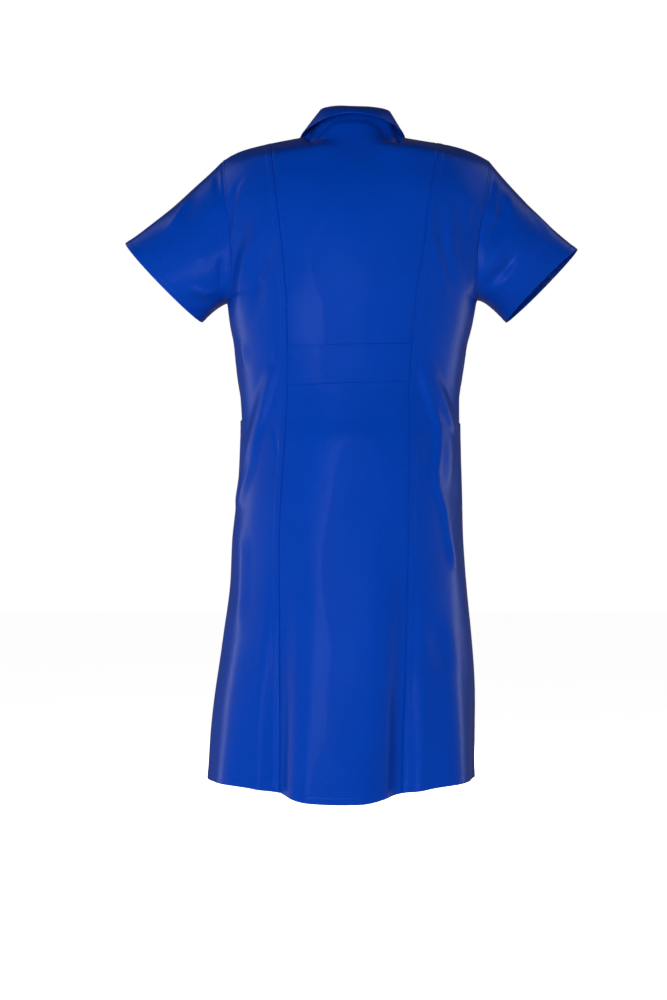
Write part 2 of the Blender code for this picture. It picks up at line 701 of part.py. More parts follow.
def build():
    """Cut and sew the whole coat."""
    clear_scene()
    cloth = make_material("blue_cloth", CLOTH_COLOUR, CLOTH_ROUGHNESS)
    plastic = make_material("button_plastic", BUTTON_COLOUR, BUTTON_ROUGHNESS)

    grids = {
        "back_centre": back_centre_grid(),
        "back_side_left": back_side_grid(1),
        "back_side_right": back_side_grid(-1),
        "front_left": front_grid(1),
        "front_right": front_grid(-1),
    }
    hem_middle = Vector((BACK_ROWS[0].lean, 0.0, BACK_ROWS[0].side_z))
    normals = {name: grid_normals(grid, hem_middle) for name, grid in grids.items()}

    for hand in ("left", "right"):
        ring = armhole_ring(grids[f"back_side_{hand}"], grids[f"front_{hand}"])
        name = f"sleeve_{hand}"
        grids[name] = sleeve_grid(ring, SLEEVES[name])
        ring_middle = sum(ring, Vector()) / len(ring)
        normals[name] = grid_normals(grids[name], ring_middle, closed=True)

    collar_columns = half_collar(-1)[::-1] + half_collar(1)[1:]
    grids["collar"] = panel_grid(collar_columns)
    normals["collar"] = grid_normals(grids["collar"], NECK_INSIDE)

    join_normals([(grids[name], normals[name]) for name in grids])
    half_gap = SEAM_GAP / 2.0
    for name, grid in grids.items():
        if name.startswith("sleeve"):
            draw_back(grid, normals[name], foot=half_gap)
        elif name == "collar":
            draw_back(grid, normals[name], foot=half_gap, sides=COLLAR_END_GAP)
        else:
            draw_back(grid, normals[name], top=half_gap, sides=half_gap)
    lift_lap(grids["front_right"], normals["front_right"])

    for name, grid in grids.items():
        inner = shifted(grid, normals[name], -CLOTH)
        add_wall(name, grid, inner, cloth, closed=name.startswith("sleeve"))

    add_belt(grids["back_centre"], normals["back_centre"], cloth)
    for hand in ("left", "right"):
        front = f"front_{hand}"
        add_pocket(f"pocket_{hand}", grids[front], normals[front], cloth)
    add_buttons(grids["front_right"], normals["front_right"], plastic)


build()
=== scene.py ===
"""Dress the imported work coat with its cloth, seams, stitches and buttons, in a plain white studio.

The frame is in metres: +Z is up, +X is the wearer's left, -Y is the front, and the origin lies in
the neck opening, level with the tops of the shoulder seams. Sizes below are millimetres, and the
meshes are written in metres.
"""

import logging
import math
from dataclasses import dataclass, replace
from enum import Enum

import bmesh
import bpy
import numpy as np
from mathutils import Matrix, Vector


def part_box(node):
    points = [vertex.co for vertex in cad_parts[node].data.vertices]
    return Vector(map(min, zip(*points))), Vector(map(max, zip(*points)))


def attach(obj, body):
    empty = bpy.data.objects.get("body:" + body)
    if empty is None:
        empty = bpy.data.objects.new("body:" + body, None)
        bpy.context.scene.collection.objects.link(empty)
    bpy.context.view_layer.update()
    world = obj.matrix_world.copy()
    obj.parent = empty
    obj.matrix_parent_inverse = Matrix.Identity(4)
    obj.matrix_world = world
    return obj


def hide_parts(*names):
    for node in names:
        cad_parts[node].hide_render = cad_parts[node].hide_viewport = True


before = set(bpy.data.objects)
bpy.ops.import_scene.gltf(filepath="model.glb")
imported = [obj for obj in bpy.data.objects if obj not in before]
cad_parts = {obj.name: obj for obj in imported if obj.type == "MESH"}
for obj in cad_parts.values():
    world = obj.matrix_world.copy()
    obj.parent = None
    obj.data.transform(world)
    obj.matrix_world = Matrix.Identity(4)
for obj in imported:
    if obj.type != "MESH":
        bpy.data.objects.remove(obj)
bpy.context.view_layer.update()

LOG = logging.getLogger("work_coat")
MM = 0.001
WHITE = (1.0, 1.0, 1.0, 1.0)
Array = np.ndarray

EDGE_ROUNDING = 0.3         # of a cloth edge, as a share of its thickness
CLOTH_SHARP_ANGLE = 48.0
FINE_STEPS = 60             # laid out before the points of a mesh are read between them
FINE_COLUMNS = 90
PAST_SIDE = 12.0            # how far a crease reaches past the level of the side seams
SIDE_EASE = 40.0            # over which it dies away there
STITCH_DENT = 0.3           # how deep a line of stitches draws the cloth in
STITCH_DENT_WIDTH = 0.75
STEP_START = 0.6            # where the step down from turned-in layers starts, before its stitches
STEP_WIDTH = 1.8
TURNING_EASE = 2.0          # over which the thickness of a hem runs out
PUCKER_REACH = 8.0          # how far puckers spread from their stitches
PUCKER_WAVES = ((1.0, 1.9, 1.0), (0.8, 2.9, 4.1), (0.7, 4.7, 2.7))  # height, length, phase


class Hand(Enum):
    """The wearer's hand that a piece is on."""

    LEFT = 1
    RIGHT = -1

    def of(self, kind: str) -> str:
        """Name the piece of a kind that is on this hand."""
        return f"{kind}_{self.name.lower()}"


class Facing(Enum):
    """The way that a panel faces."""

    BACK = 1
    FRONT = -1


class Edge(Enum):
    """An edge of a laid out piece."""

    FOOT = "foot"
    TOP = "top"
    FIRST = "first"
    LAST = "last"


class Side(Enum):
    """The side of the coat that a crease is drawn on: its level axis, depth axis and sign."""

    BACK = (0, 1, 1)
    FRONT = (0, 1, -1)
    LEFT = (1, 0, 1)
    RIGHT = (1, 0, -1)


def smooth(value: Array) -> Array:
    """Ease from 0 to 1 with a soft start and end, cutting off what lies outside."""
    value = np.clip(value, 0.0, 1.0)
    return value * value * (3.0 - 2.0 * value)


def lengths_along(points: Array, axis: int) -> Array:
    """Measure how far each point of a grid lies from the grid's start.

    Args:
        points: Rows by columns by 3.
        axis: 0 to measure up the columns, 1 to measure along the rows.

    Returns:
        Rows by columns of lengths.
    """
    steps = np.linalg.norm(np.diff(points, axis=axis), axis=2)
    start = np.zeros_like(np.take(steps, [0], axis=axis))
    return np.concatenate((start, np.cumsum(steps, axis=axis)), axis=axis)


def curve_through(knots: Array, places: Array) -> Array:
    """Read points from a smooth curve through knots.

    Args:
        knots: The curve's own points along the first axis, with 3 numbers along the last.
        places: Where to read it: 0 is the first knot, 1 the second and so on.

    Returns:
        One point, or one row of points, for each place.
    """
    chords = np.linalg.norm(np.diff(knots, axis=0), axis=-1, keepdims=True)
    slopes = np.empty_like(knots)
    slopes[0] = (knots[1] - knots[0]) / chords[0]
    slopes[-1] = (knots[-1] - knots[-2]) / chords[-1]
    slopes[1:-1] = (knots[2:] - knots[:-2]) / (chords[1:] + chords[:-1])
    start = np.clip(np.floor(places).astype(int), 0, len(knots) - 2)
    part = (places - start).reshape((-1,) + (1,) * (knots.ndim - 1))
    square = part * part
    cube = square * part
    return (
        knots[start] * (2.0 * cube - 3.0 * square + 1.0)
        + slopes[start] * chords[start] * (cube - 2.0 * square + part)
        + knots[start + 1] * (3.0 * square - 2.0 * cube)
        + slopes[start + 1] * chords[start] * (cube - square)
    )


def spaced(first: tuple[float, ...], last: tuple[float, ...], total: Array, count: int) -> Array:
    """Set out distances that are close together at a seam or hem and even in between.

    Args:
        first: Distances from the start, rising from 0.
        last: Distances from the end, rising from 0.
        total: The whole length of each line.
        count: How many even steps lie between the two.

    Returns:
        Lines by distances.
    """
    low = np.array(first)[None, :] + 0.0 * total[:, None]
    high = total[:, None] - np.array(last)[None, ::-1]
    part = np.linspace(0.0, 1.0, count + 1)[None, 1:-1]
    even = low[:, -1:] + (high[:, :1] - low[:, -1:]) * part
    return np.concatenate((low, even, high), axis=1)


def read_at(values: Array, scale: Array, wanted: Array) -> Array:
    """Read each row of a grid at wanted places on the row's own scale.

    Args:
        values: Rows by columns by 3.
        scale: Rows by columns, rising along each row.
        wanted: Rows by places.

    Returns:
        Rows by places by 3.
    """
    read = np.empty(wanted.shape + (3,))
    for row, (places, line) in enumerate(zip(scale, values)):
        for axis in range(3):
            read[row, :, axis] = np.interp(wanted[row], places, line[:, axis])
    return read


def respaced(points: Array, first: tuple[float, ...], last: tuple[float, ...], count: int) -> Array:
    """Read each row of a grid at the distances that spaced() sets out."""
    lengths = lengths_along(points, 1)
    return read_at(points, lengths, spaced(first, last, lengths[:, -1], count))


@dataclass(frozen=True)
class Row:
    """One crossing of the back or front, from its middle out to the side seam or armhole."""

    middle_z: float
    side_z: float
    lean: float         # the row's middle stands this far towards the wearer's left
    half_width: float
    side_y: float       # how far behind or before the side seam the row's end stands
    depth: float
    turn: float         # degrees through which the row bends from its middle to its end
    seam_left: float    # from the row's middle to each princess seam
    seam_right: float


@dataclass(frozen=True)
class Fold:
    """A long soft ridge or, with a negative rise, a valley. Angles run round the coat.

    0 is the middle of the back, 90 the wearer's left side seam and -90 the right one.
    """

    top_angle: float
    top_z: float
    foot_angle: float
    foot_z: float
    half_angle: float
    rise: float
    to_hem: bool
    flat: float = 0.0       # share of the half angle over which its top is flat
    drop: float = 0.0       # how far its hem hangs below its neighbours'


@dataclass(frozen=True)
class Crease:
    """A crease drawn on one side of the coat, as its route is seen from there."""

    side: Side
    route: tuple[tuple[float, float], ...]  # level and upward places
    half_width: float
    rise: float
    lean: float = 0.0       # above 0 it falls away faster on the right of its route
    sharp: float = 0.0      # 0 for a round crest, 1 for a pressed one
    fade: float = 0.4       # share of its length over which each end dies away

    def height(self, points: Array) -> Array:
        """Work out how far the crease lifts points.

        Args:
            points: Any number of points, with 3 numbers along the last axis.

        Returns:
            The lift of each point.
        """
        level_axis, depth_axis, sign = self.side.value
        level = points[..., level_axis]
        upward = points[..., 2]
        route = np.array(self.route)
        spans = np.linalg.norm(np.diff(route, axis=0), axis=1)
        nearest = np.full(level.shape, np.inf)
        offset = np.zeros(level.shape)
        along = np.zeros(level.shape)
        passed = 0.0
        for start, end, span in zip(route, route[1:], spans):
            run = (end - start) / span
            reach = (level - start[0]) * run[0] + (upward - start[1]) * run[1]
            held = np.clip(reach, 0.0, span)
            gap = np.hypot(level - start[0] - held * run[0], upward - start[1] - held * run[1])
            turned = (level - start[0]) * run[1] - (upward - start[1]) * run[0]
            closer = gap < nearest
            nearest = np.where(closer, gap, nearest)
            offset = np.where(closer, np.sign(turned), offset)
            along = np.where(closer, (passed + held) / spans.sum(), along)
            passed += span
        width = self.half_width * (1.0 - self.lean * offset)
        off = np.clip(nearest / width, 0.0, 1.0)
        across = smooth(1.0 - off) * (1.0 - self.sharp) + (1.0 - off) ** 2 * self.sharp
        ends = smooth(along / self.fade) * smooth((1.0 - along) / self.fade)
        facing = smooth((sign * points[..., depth_axis] + PAST_SIDE) / SIDE_EASE)
        return self.rise * across * ends * facing


@dataclass(frozen=True)
class Relief:
    """How the cloth stands up or sinks beside one edge of a piece, and where it is stitched."""

    edge: Edge
    sink: float = 0.0           # of the very edge below the cloth, where it turns into a seam
    sink_width: float = 2.4
    rise: float = 0.0           # over the turned-in layers
    stitches: tuple[float, ...] = ()   # how far from the edge the stitch lines run
    pucker: float = 0.0
    phase: float = 0.0
    start: int = 0              # lines of the grid along the edge, from this one
    stop: int | None = None     # up to this one

    def height(self, distance: Array, along: Array) -> Array:
        """Work out how far the cloth lies out or in.

        Args:
            distance: Of each point from the edge.
            along: Of each point along the edge.

        Returns:
            Rows by columns of heights.
        """
        height = np.zeros_like(distance)
        reach = max(self.stitches, default=0.0)
        if self.stitches:
            step = (distance - reach + STEP_START) / STEP_WIDTH
            height = height + self.rise * (1.0 - smooth(step))
            for stitch in self.stitches:
                off = (distance - stitch) / STITCH_DENT_WIDTH
                height = height - STITCH_DENT * np.exp(-off ** 2)
        if self.pucker:
            near = np.exp(-((distance - reach) / PUCKER_REACH) ** 2)
            slow = 0.6 + 0.4 * np.sin(along / 31.0 + 2.3 * self.phase)
            wave = sum(share * np.sin(along / length + turn * self.phase)
                       for share, length, turn in PUCKER_WAVES)
            height = height + self.pucker * near * slow * wave
        return height


@dataclass
class ClothGrid:
    """A piece of cloth laid out as rows of points, the foot first."""

    points: Array
    inside: Array           # a place that the outer face looks away from

    def normals(self) -> Array:
        """Work out the outward normal at every point."""
        normals = np.cross(np.gradient(self.points, axis=1), np.gradient(self.points, axis=0))
        normals /= np.maximum(np.linalg.norm(normals, axis=2, keepdims=True), 1e-9)
        if float(np.sum(normals[0] * (self.points[0] - self.inside))) < 0.0:
            normals = -normals
        return normals

    def distances(self, edge: Edge) -> tuple[Array, Array]:
        """Measure from an edge and along it.

        Args:
            edge: The edge to measure from.

        Returns:
            Each point's distance from the edge, and its place along the edge.
        """
        across = lengths_along(self.points, 1)
        along = lengths_along(self.points, 0)
        if edge is Edge.FIRST:
            return across, along
        if edge is Edge.LAST:
            return across[:, -1:] - across, along
        if edge is Edge.FOOT:
            return along, across
        return along[-1:] - along, across

    def raised(self, reliefs: tuple[Relief, ...]) -> "ClothGrid":
        """Lift the cloth by its reliefs.

        Args:
            reliefs: What stands up or sinks beside the edges.

        Returns:
            The outer face.
        """
        height = np.full(self.points.shape[:2], max(relief.sink for relief in reliefs))
        left_free = np.ones_like(height)
        for relief in reliefs:
            distance, along = self.distances(relief.edge)
            lines = np.s_[relief.start:relief.stop]
            if relief.edge in (Edge.FOOT, Edge.TOP):
                lines = np.s_[:, relief.start:relief.stop]
            height[lines] += relief.height(distance, along)[lines]
            if relief.sink:
                left_free[lines] *= smooth(distance / relief.sink_width)[lines]
        return self.moved(height * left_free)

    def moved(self, height: Array | float) -> "ClothGrid":
        """Move the cloth outwards, by one height or one for each point."""
        height = np.broadcast_to(height, self.points.shape[:2])
        return ClothGrid(self.points + self.normals() * height[:, :, None], self.inside)


@dataclass(frozen=True)
class StitchLine:
    """A line of stitches: the points it runs through and the cloth's normals there."""

    points: Array
    normals: Array


def stitch_lines(outer: ClothGrid, reliefs: tuple[Relief, ...]) -> list[StitchLine]:
    """Read the stitch lines that the reliefs ask for.

    Args:
        outer: The outer face of the cloth.
        reliefs: What stands up or sinks beside the edges.

    Returns:
        The stitch lines.
    """
    found = []
    normals = outer.normals()
    for relief in reliefs:
        points, facing = outer.points, normals
        if relief.edge in (Edge.FOOT, Edge.TOP):
            points, facing = points.swapaxes(0, 1), facing.swapaxes(0, 1)
        if relief.edge in (Edge.LAST, Edge.TOP):
            points, facing = points[:, ::-1], facing[:, ::-1]
        points = points[relief.start:relief.stop]
        facing = facing[relief.start:relief.stop]
        lengths = lengths_along(points, 1)
        for inset in relief.stitches:
            wanted = np.full((len(points), 1), inset)
            found.append(StitchLine(read_at(points, lengths, wanted)[:, 0],
                                    read_at(facing, lengths, wanted)[:, 0]))
    return found


def turned_in(cloth: float, turnings: float, from_edge: Array, hem: float) -> Array:
    """Thicken cloth by its turnings over the width of a hem."""
    return cloth + turnings * (1.0 - smooth((from_edge - hem) / TURNING_EASE))


def put_in(name: str, data: bpy.types.ID) -> bpy.types.Object:
    """Put a mesh, a camera or a lamp into the scene.

    Args:
        name: The new object's name.
        data: What it shows.

    Returns:
        The new object, at the origin.
    """
    item = bpy.data.objects.new(name, data)
    bpy.context.scene.collection.objects.link(item)
    return item


def new_mesh_object(name: str, points: Array, faces: Array, uv: Array) -> bpy.types.Object:
    """Put a mesh of four-sided faces into the scene.

    Args:
        name: The piece's name.
        points: Points in millimetres.
        faces: Four point numbers for each face.
        uv: Where each point lies on the cloth, in metres.

    Returns:
        The new object.
    """
    mesh = bpy.data.meshes.new(name)
    mesh.vertices.add(len(points))
    mesh.vertices.foreach_set("co", (points * MM).astype(np.float32).ravel())
    mesh.loops.add(faces.size)
    mesh.loops.foreach_set("vertex_index", faces.astype(np.int32).ravel())
    mesh.polygons.add(len(faces))
    mesh.polygons.foreach_set("loop_start", np.arange(0, faces.size, 4, dtype=np.int32))
    layer = mesh.uv_layers.new(name="cloth")
    layer.data.foreach_set("uv", uv[faces].astype(np.float32).ravel())
    mesh.update(calc_edges=True)
    mesh.validate()
    mesh.shade_smooth()
    mesh.set_sharp_from_angle(angle=math.radians(CLOTH_SHARP_ANGLE))
    return put_in(name, mesh)


def cloth_shell(name: str, outer: ClothGrid, thickness: Array | float) -> bpy.types.Object:
    """Make a closed shell of cloth under an outer face, with rounded edges.

    Args:
        name: The piece's name.
        outer: The outer face.
        thickness: Of the cloth, one number or one for each point.

    Returns:
        The shell.
    """
    rows, columns = outer.points.shape[:2]
    count = rows * columns
    thickness = np.broadcast_to(thickness, (rows, columns))
    normals = outer.normals()
    skin = outer.points.reshape(-1, 3)
    lining = (outer.points - normals * thickness[:, :, None]).reshape(-1, 3)
    across = lengths_along(outer.points, 1)
    uv = np.stack((across - across[:, -1:] / 2.0, lengths_along(outer.points, 0)), axis=-1)
    uv = (uv * MM).reshape(-1, 2)

    numbers = np.arange(count).reshape(rows, columns)
    faces = np.stack((numbers[:-1, :-1], numbers[:-1, 1:], numbers[1:, 1:], numbers[1:, :-1]),
                     axis=-1).reshape(-1, 4)
    rim = np.concatenate((numbers[0], numbers[1:, -1], numbers[-1, -2::-1],
                          numbers[-2:0:-1, 0]))
    i, j = rim // columns, rim % columns
    away = skin[rim] - skin[np.clip(i, 1, rows - 2) * columns + np.clip(j, 1, columns - 2)]
    away /= np.maximum(np.linalg.norm(away, axis=1, keepdims=True), 1e-9)
    rounding = EDGE_ROUNDING * thickness.reshape(-1)[rim][:, None]
    middle = (skin[rim] + lining[rim]) / 2.0 + away * rounding
    after = np.roll(rim, -1)
    edge = 2 * count + np.arange(len(rim))
    edge_after = np.roll(edge, -1)
    quads = np.concatenate((
        faces,
        faces[:, ::-1] + count,
        np.stack((after, rim, edge, edge_after), axis=1),
        np.stack((edge_after, edge, rim + count, after + count), axis=1),
    ))
    looks = np.cross(outer.points[0, 1] - outer.points[0, 0],
                     outer.points[1, 0] - outer.points[0, 0])
    if float(np.dot(looks, normals[0, 0])) < 0.0:
        quads = quads[:, ::-1]
    points = np.concatenate((skin, lining, middle))
    return new_mesh_object(name, points, quads, np.concatenate((uv, uv, uv[rim])))


class NodeWork:
    """A node tree in the making."""

    def __init__(self, tree: bpy.types.NodeTree) -> None:
        """Take up a tree."""
        self.tree = tree

    def fill(self, node: bpy.types.Node, values: dict[str | int, object]) -> None:
        """Set a node's own sockets."""
        for entry, value in values.items():
            node.inputs[entry].default_value = value

    def add(self, kind: str, values: dict[str | int, object] | None = None,
            **settings: object) -> bpy.types.Node:
        """Add a node.

        Args:
            kind: The kind of node.
            values: Of its sockets.
            settings: Of the node itself, which come first because some of them change its sockets.

        Returns:
            The new node.
        """
        node = self.tree.nodes.new(kind)
        for name, setting in settings.items():
            setattr(node, name, setting)
        self.fill(node, values or {})
        return node

    def join(self, *links: tuple[bpy.types.Node, str | int, bpy.types.Node, str | int]) -> None:
        """Link nodes, each time a node and its output with a node and its input."""
        for start, output, end, entry in links:
            self.tree.links.new(start.outputs[output], end.inputs[entry])


class Finish:
    """A material in the making, with one shader."""

    def __init__(self, name: str, values: dict[str | int, object]) -> None:
        """Start a material and set its shader's own sockets."""
        self.material = bpy.data.materials.new(name)
        self.material.use_nodes = True
        self.work = NodeWork(self.material.node_tree)
        self.shader = self.material.node_tree.nodes["Principled BSDF"]
        self.work.fill(self.shader, values)

    def shade(self, factor: bpy.types.Node, output: str, low: tuple[float, float, float],
              high: tuple[float, float, float]) -> None:
        """Colour the surface from low, where a node's output is 0, to high, where it is 1."""
        colours = self.work.add("ShaderNodeMix", {"A": (*low, 1.0), "B": (*high, 1.0)},
                                data_type="RGBA")
        self.work.join((factor, output, colours, "Factor"),
                       (colours, "Result", self.shader, "Base Color"))


@dataclass(frozen=True)
class TwillCloth:
    """Fine royal blue twill, pressed, with a soft sheen where it turns away."""

    name: str
    colour: tuple[float, float, float]
    deep_colour: tuple[float, float, float]
    roughness: float = 0.33
    specular: float = 0.3
    sheen: float = 0.025
    sheen_roughness: float = 0.25
    sheen_tint: tuple[float, float, float] = (0.80, 0.66, 1.0)
    twill_pitch: float = 0.9
    twill_angle: float = 63.0
    twill_depth: float = 0.12
    slub_size: float = 7.0
    slub_depth: float = 0.25
    wave_at_scale_one: float = 2.0 * math.pi / 20.0     # in metres

    def make(self) -> bpy.types.Material:
        """Build the material.

        Returns:
            The material, which reads the piece's own cloth UV map and Object coordinates.
        """
        finish = Finish(self.name, {
            "Roughness": self.roughness,
            "Specular IOR Level": self.specular,
            "Sheen Weight": self.sheen,
            "Sheen Roughness": self.sheen_roughness,
            "Sheen Tint": (*self.sheen_tint, 1.0),
        })
        work = finish.work
        on_cloth = work.add("ShaderNodeUVMap", uv_map="cloth")
        places = work.add("ShaderNodeTexCoord")
        turn = work.add("ShaderNodeMapping",
                        {"Rotation": (0.0, 0.0, math.radians(self.twill_angle))})
        twill = work.add("ShaderNodeTexWave", {
            "Scale": self.wave_at_scale_one / (self.twill_pitch * MM),
            "Distortion": 0.6,
            "Detail Scale": 0.4,
        })
        slubs = work.add("ShaderNodeTexNoise",
                         {"Scale": 1.0 / (self.slub_size * MM), "Detail": 4.0})
        clouds = work.add("ShaderNodeTexNoise", {"Scale": 14.0, "Detail": 3.0})
        shares = work.add("ShaderNodeMix", {"Factor": 0.5})
        tone = work.add("ShaderNodeMapRange", {"From Min": 0.35, "From Max": 0.65})
        soft = work.add("ShaderNodeBump", {"Strength": 0.25, "Distance": self.slub_depth * MM})
        weave = work.add("ShaderNodeBump", {"Strength": 0.35, "Distance": self.twill_depth * MM})
        work.join(
            (on_cloth, "UV", turn, "Vector"),
            (turn, "Vector", twill, "Vector"),
            (on_cloth, "UV", slubs, "Vector"),
            (places, "Object", clouds, "Vector"),
            (slubs, "Fac", shares, "A"),
            (clouds, "Fac", shares, "B"),
            (shares, "Result", tone, "Value"),
            (slubs, "Fac", soft, "Height"),
            (twill, "Fac", weave, "Height"),
            (soft, "Normal", weave, "Normal"),
            (weave, "Normal", finish.shader, "Normal"),
        )
        finish.shade(tone, "Result", self.deep_colour, self.colour)
        return finish.material


@dataclass(frozen=True)
class ButtonPlastic:
    """Dyed polyester button, with faint pearly clouds."""

    name: str = "button_plastic"
    colour: tuple[float, float, float] = (0.006, 0.03, 0.26)
    cloud_colour: tuple[float, float, float] = (0.012, 0.05, 0.36)
    roughness: float = 0.28
    gloss: float = 0.3
    cloud_scale: float = 260.0

    def make(self) -> bpy.types.Material:
        """Build the material.

        Returns:
            The material, which reads Object coordinates.
        """
        finish = Finish(self.name, {"Roughness": self.roughness, "Coat Weight": self.gloss})
        places = finish.work.add("ShaderNodeTexCoord")
        clouds = finish.work.add("ShaderNodeTexNoise",
                                 {"Scale": self.cloud_scale, "Distortion": 1.2})
        finish.work.join((places, "Object", clouds, "Vector"))
        finish.shade(clouds, "Fac", self.colour, self.cloud_colour)
        return finish.material


@dataclass(frozen=True)
class SewingThread:
    """Spun polyester thread, dyed to match the cloth."""

    name: str = "sewing_thread"
    colour: tuple[float, float, float] = (0.005, 0.05, 0.42)
    roughness: float = 0.5
    specular: float = 0.1
    ply_pitch: float = 0.5
    ply_depth: float = 0.05

    def make(self) -> bpy.types.Material:
        """Build the material.

        Returns:
            The material, which reads Object coordinates.
        """
        finish = Finish(self.name, {
            "Base Color": (*self.colour, 1.0),
            "Roughness": self.roughness,
            "Specular IOR Level": self.specular,
        })
        places = finish.work.add("ShaderNodeTexCoord")
        plies = finish.work.add("ShaderNodeTexNoise", {"Scale": 1.0 / (self.ply_pitch * MM)})
        bump = finish.work.add("ShaderNodeBump",
                               {"Strength": 0.4, "Distance": self.ply_depth * MM})
        finish.work.join(
            (places, "Object", plies, "Vector"),
            (plies, "Fac", bump, "Height"),
            (bump, "Normal", finish.shader, "Normal"),
        )
        return finish.material


@dataclass(frozen=True)
class StudioPaper:
    """White seamless paper, lit until it reads as plain white."""

    name: str = "studio_paper"
    colour: tuple[float, float, float] = (0.9, 0.9, 0.9)
    roughness: float = 0.9
    glow: float = 0.95

    def make(self) -> bpy.types.Material:
        """Build the material."""
        return Finish(self.name, {
            "Base Color": (*self.colour, 1.0),
            "Roughness": self.roughness,
            "Emission Color": WHITE,
            "Emission Strength": self.glow,
        }).material


@dataclass(frozen=True)
class Cut:
    """The flat size that a piece was cut to, in metres, and its area."""

    width: float
    length: float
    area: float


def sew_in(node: str, outer: ClothGrid, thickness: Array | float, cloth: bpy.types.Material,
           reliefs: tuple[Relief, ...], rests_on: list[str]) -> list[StitchLine]:
    """Make a piece of cloth and seat it in the frame, in place of its solid.

    Args:
        node: The solid that it stands for.
        outer: Its outer face.
        thickness: Of the cloth, one number or one for each point.
        cloth: Its finish.
        reliefs: What stands up or sinks beside its edges.
        rests_on: The pieces that it is sewn onto; not used.

    Returns:
        Its stitch lines.
    """
    piece = cloth_shell(f"cloth_{node}", outer, thickness)
    piece.data.materials.append(cloth)
    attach(piece, "root")
    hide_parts(node)
    LOG.info("%s: %d faces", piece.name, len(piece.data.polygons))
    return stitch_lines(outer, reliefs)


#         middle   side  lean  width   end depth turn  left right
BACK_ROWS = (
    Row(-967.0, -957.0, 12.7, 200.0, 0.0, 139.0, 90, 93.0, 89.0),
    Row(-892.0, -888.0, 10.5, 196.5, 0.0, 138.0, 90, 94.0, 88.0),
    Row(-820.0, -818.0, 7.5, 192.0, 0.0, 136.0, 90, 96.0, 86.5),
    Row(-748.0, -748.0, 4.5, 184.5, 0.0, 134.0, 90, 98.0, 84.5),
    Row(-676.0, -676.0, 2.5, 176.5, 0.0, 132.0, 90, 99.5, 83.5),
    Row(-604.0, -604.0, 3.0, 172.0, 0.0, 130.0, 90, 98.5, 85.0),
    Row(-532.0, -532.0, 0.5, 167.0, 0.0, 127.0, 90, 98.5, 83.5),
    Row(-462.0, -462.0, -1.0, 162.5, 0.0, 120.0, 90, 96.0, 83.0),
    Row(-425.0, -425.0, -1.0, 160.5, 0.0, 112.0, 90, 93.0, 83.5),
    Row(-377.0, -377.0, 0.4, 163.0, 0.0, 105.0, 90, 90.0, 84.5),
    Row(-323.0, -323.0, 0.0, 171.0, 0.0, 106.0, 90, 90.0, 86.5),
    Row(-285.0, -285.0, -0.5, 180.0, 0.0, 112.0, 90, 91.5, 90.0),
    Row(-250.0, -250.0, -1.5, 185.5, 0.0, 118.0, 90, 93.0, 92.0),
    Row(-222.0, -245.0, -3.0, 182.5, 28.0, 120.5, 79, 97.0, 93.0),
    Row(-195.0, -226.0, -4.0, 181.0, 47.0, 121.0, 70, 100.0, 97.0),
    Row(-165.0, -192.0, -4.0, 180.5, 58.0, 120.0, 64, 103.0, 102.0),
    Row(-130.0, -152.0, -5.5, 183.0, 60.0, 116.0, 61, 109.0, 104.0),
    Row(-95.0, -113.0, -8.0, 190.0, 54.0, 108.0, 58, 116.0, 107.0),
    Row(-60.0, -78.0, -9.5, 195.5, 38.0, 95.0, 54, 121.0, 111.0),
    Row(-28.0, -52.0, -10.0, 199.5, 16.0, 78.0, 50, 125.0, 116.0),
)
# The fronts' own columns, in the same rows: they share the back's side seams
#   middle  end depth turn  left right
FRONT_COLUMNS = (
    (-960.0, 0.0, 134.0, 90, 95.0, 95.0),
    (-888.0, 0.0, 132.0, 90, 95.0, 95.0),
    (-818.0, 0.0, 129.0, 90, 95.0, 95.0),
    (-748.0, 0.0, 126.0, 90, 95.0, 95.0),
    (-676.0, 0.0, 123.0, 90, 95.0, 95.0),
    (-604.0, 0.0, 120.0, 90, 94.0, 94.0),
    (-532.0, 0.0, 116.0, 90, 92.0, 92.0),
    (-462.0, 0.0, 111.0, 90, 90.0, 90.0),
    (-425.0, 0.0, 109.0, 90, 88.0, 88.0),
    (-377.0, 0.0, 110.0, 90, 88.0, 88.0),
    (-323.0, 0.0, 119.0, 90, 91.0, 91.0),
    (-285.0, 0.0, 128.0, 90, 95.0, 95.0),
    (-250.0, 0.0, 133.0, 90, 98.0, 98.0),
    (-230.0, 26.0, 133.0, 81, 99.0, 99.0),
    (-210.0, 43.0, 130.0, 73, 101.0, 100.0),
    (-187.0, 52.0, 124.0, 67, 104.0, 102.0),
    (-160.0, 52.0, 114.0, 62, 109.0, 104.0),
    (-133.0, 44.0, 103.0, 58, 116.0, 107.0),
    (-108.0, 29.0, 93.0, 54, 121.0, 111.0),
    (-88.0, 12.0, 84.0, 50, 125.0, 116.0),
)
FRONT_ROWS = tuple(
    replace(row, middle_z=middle_z, side_y=side_y, depth=depth, turn=turn,
            seam_left=seam_left, seam_right=seam_right)
    for row, (middle_z, side_y, depth, turn, seam_left, seam_right) in zip(BACK_ROWS, FRONT_COLUMNS)
)
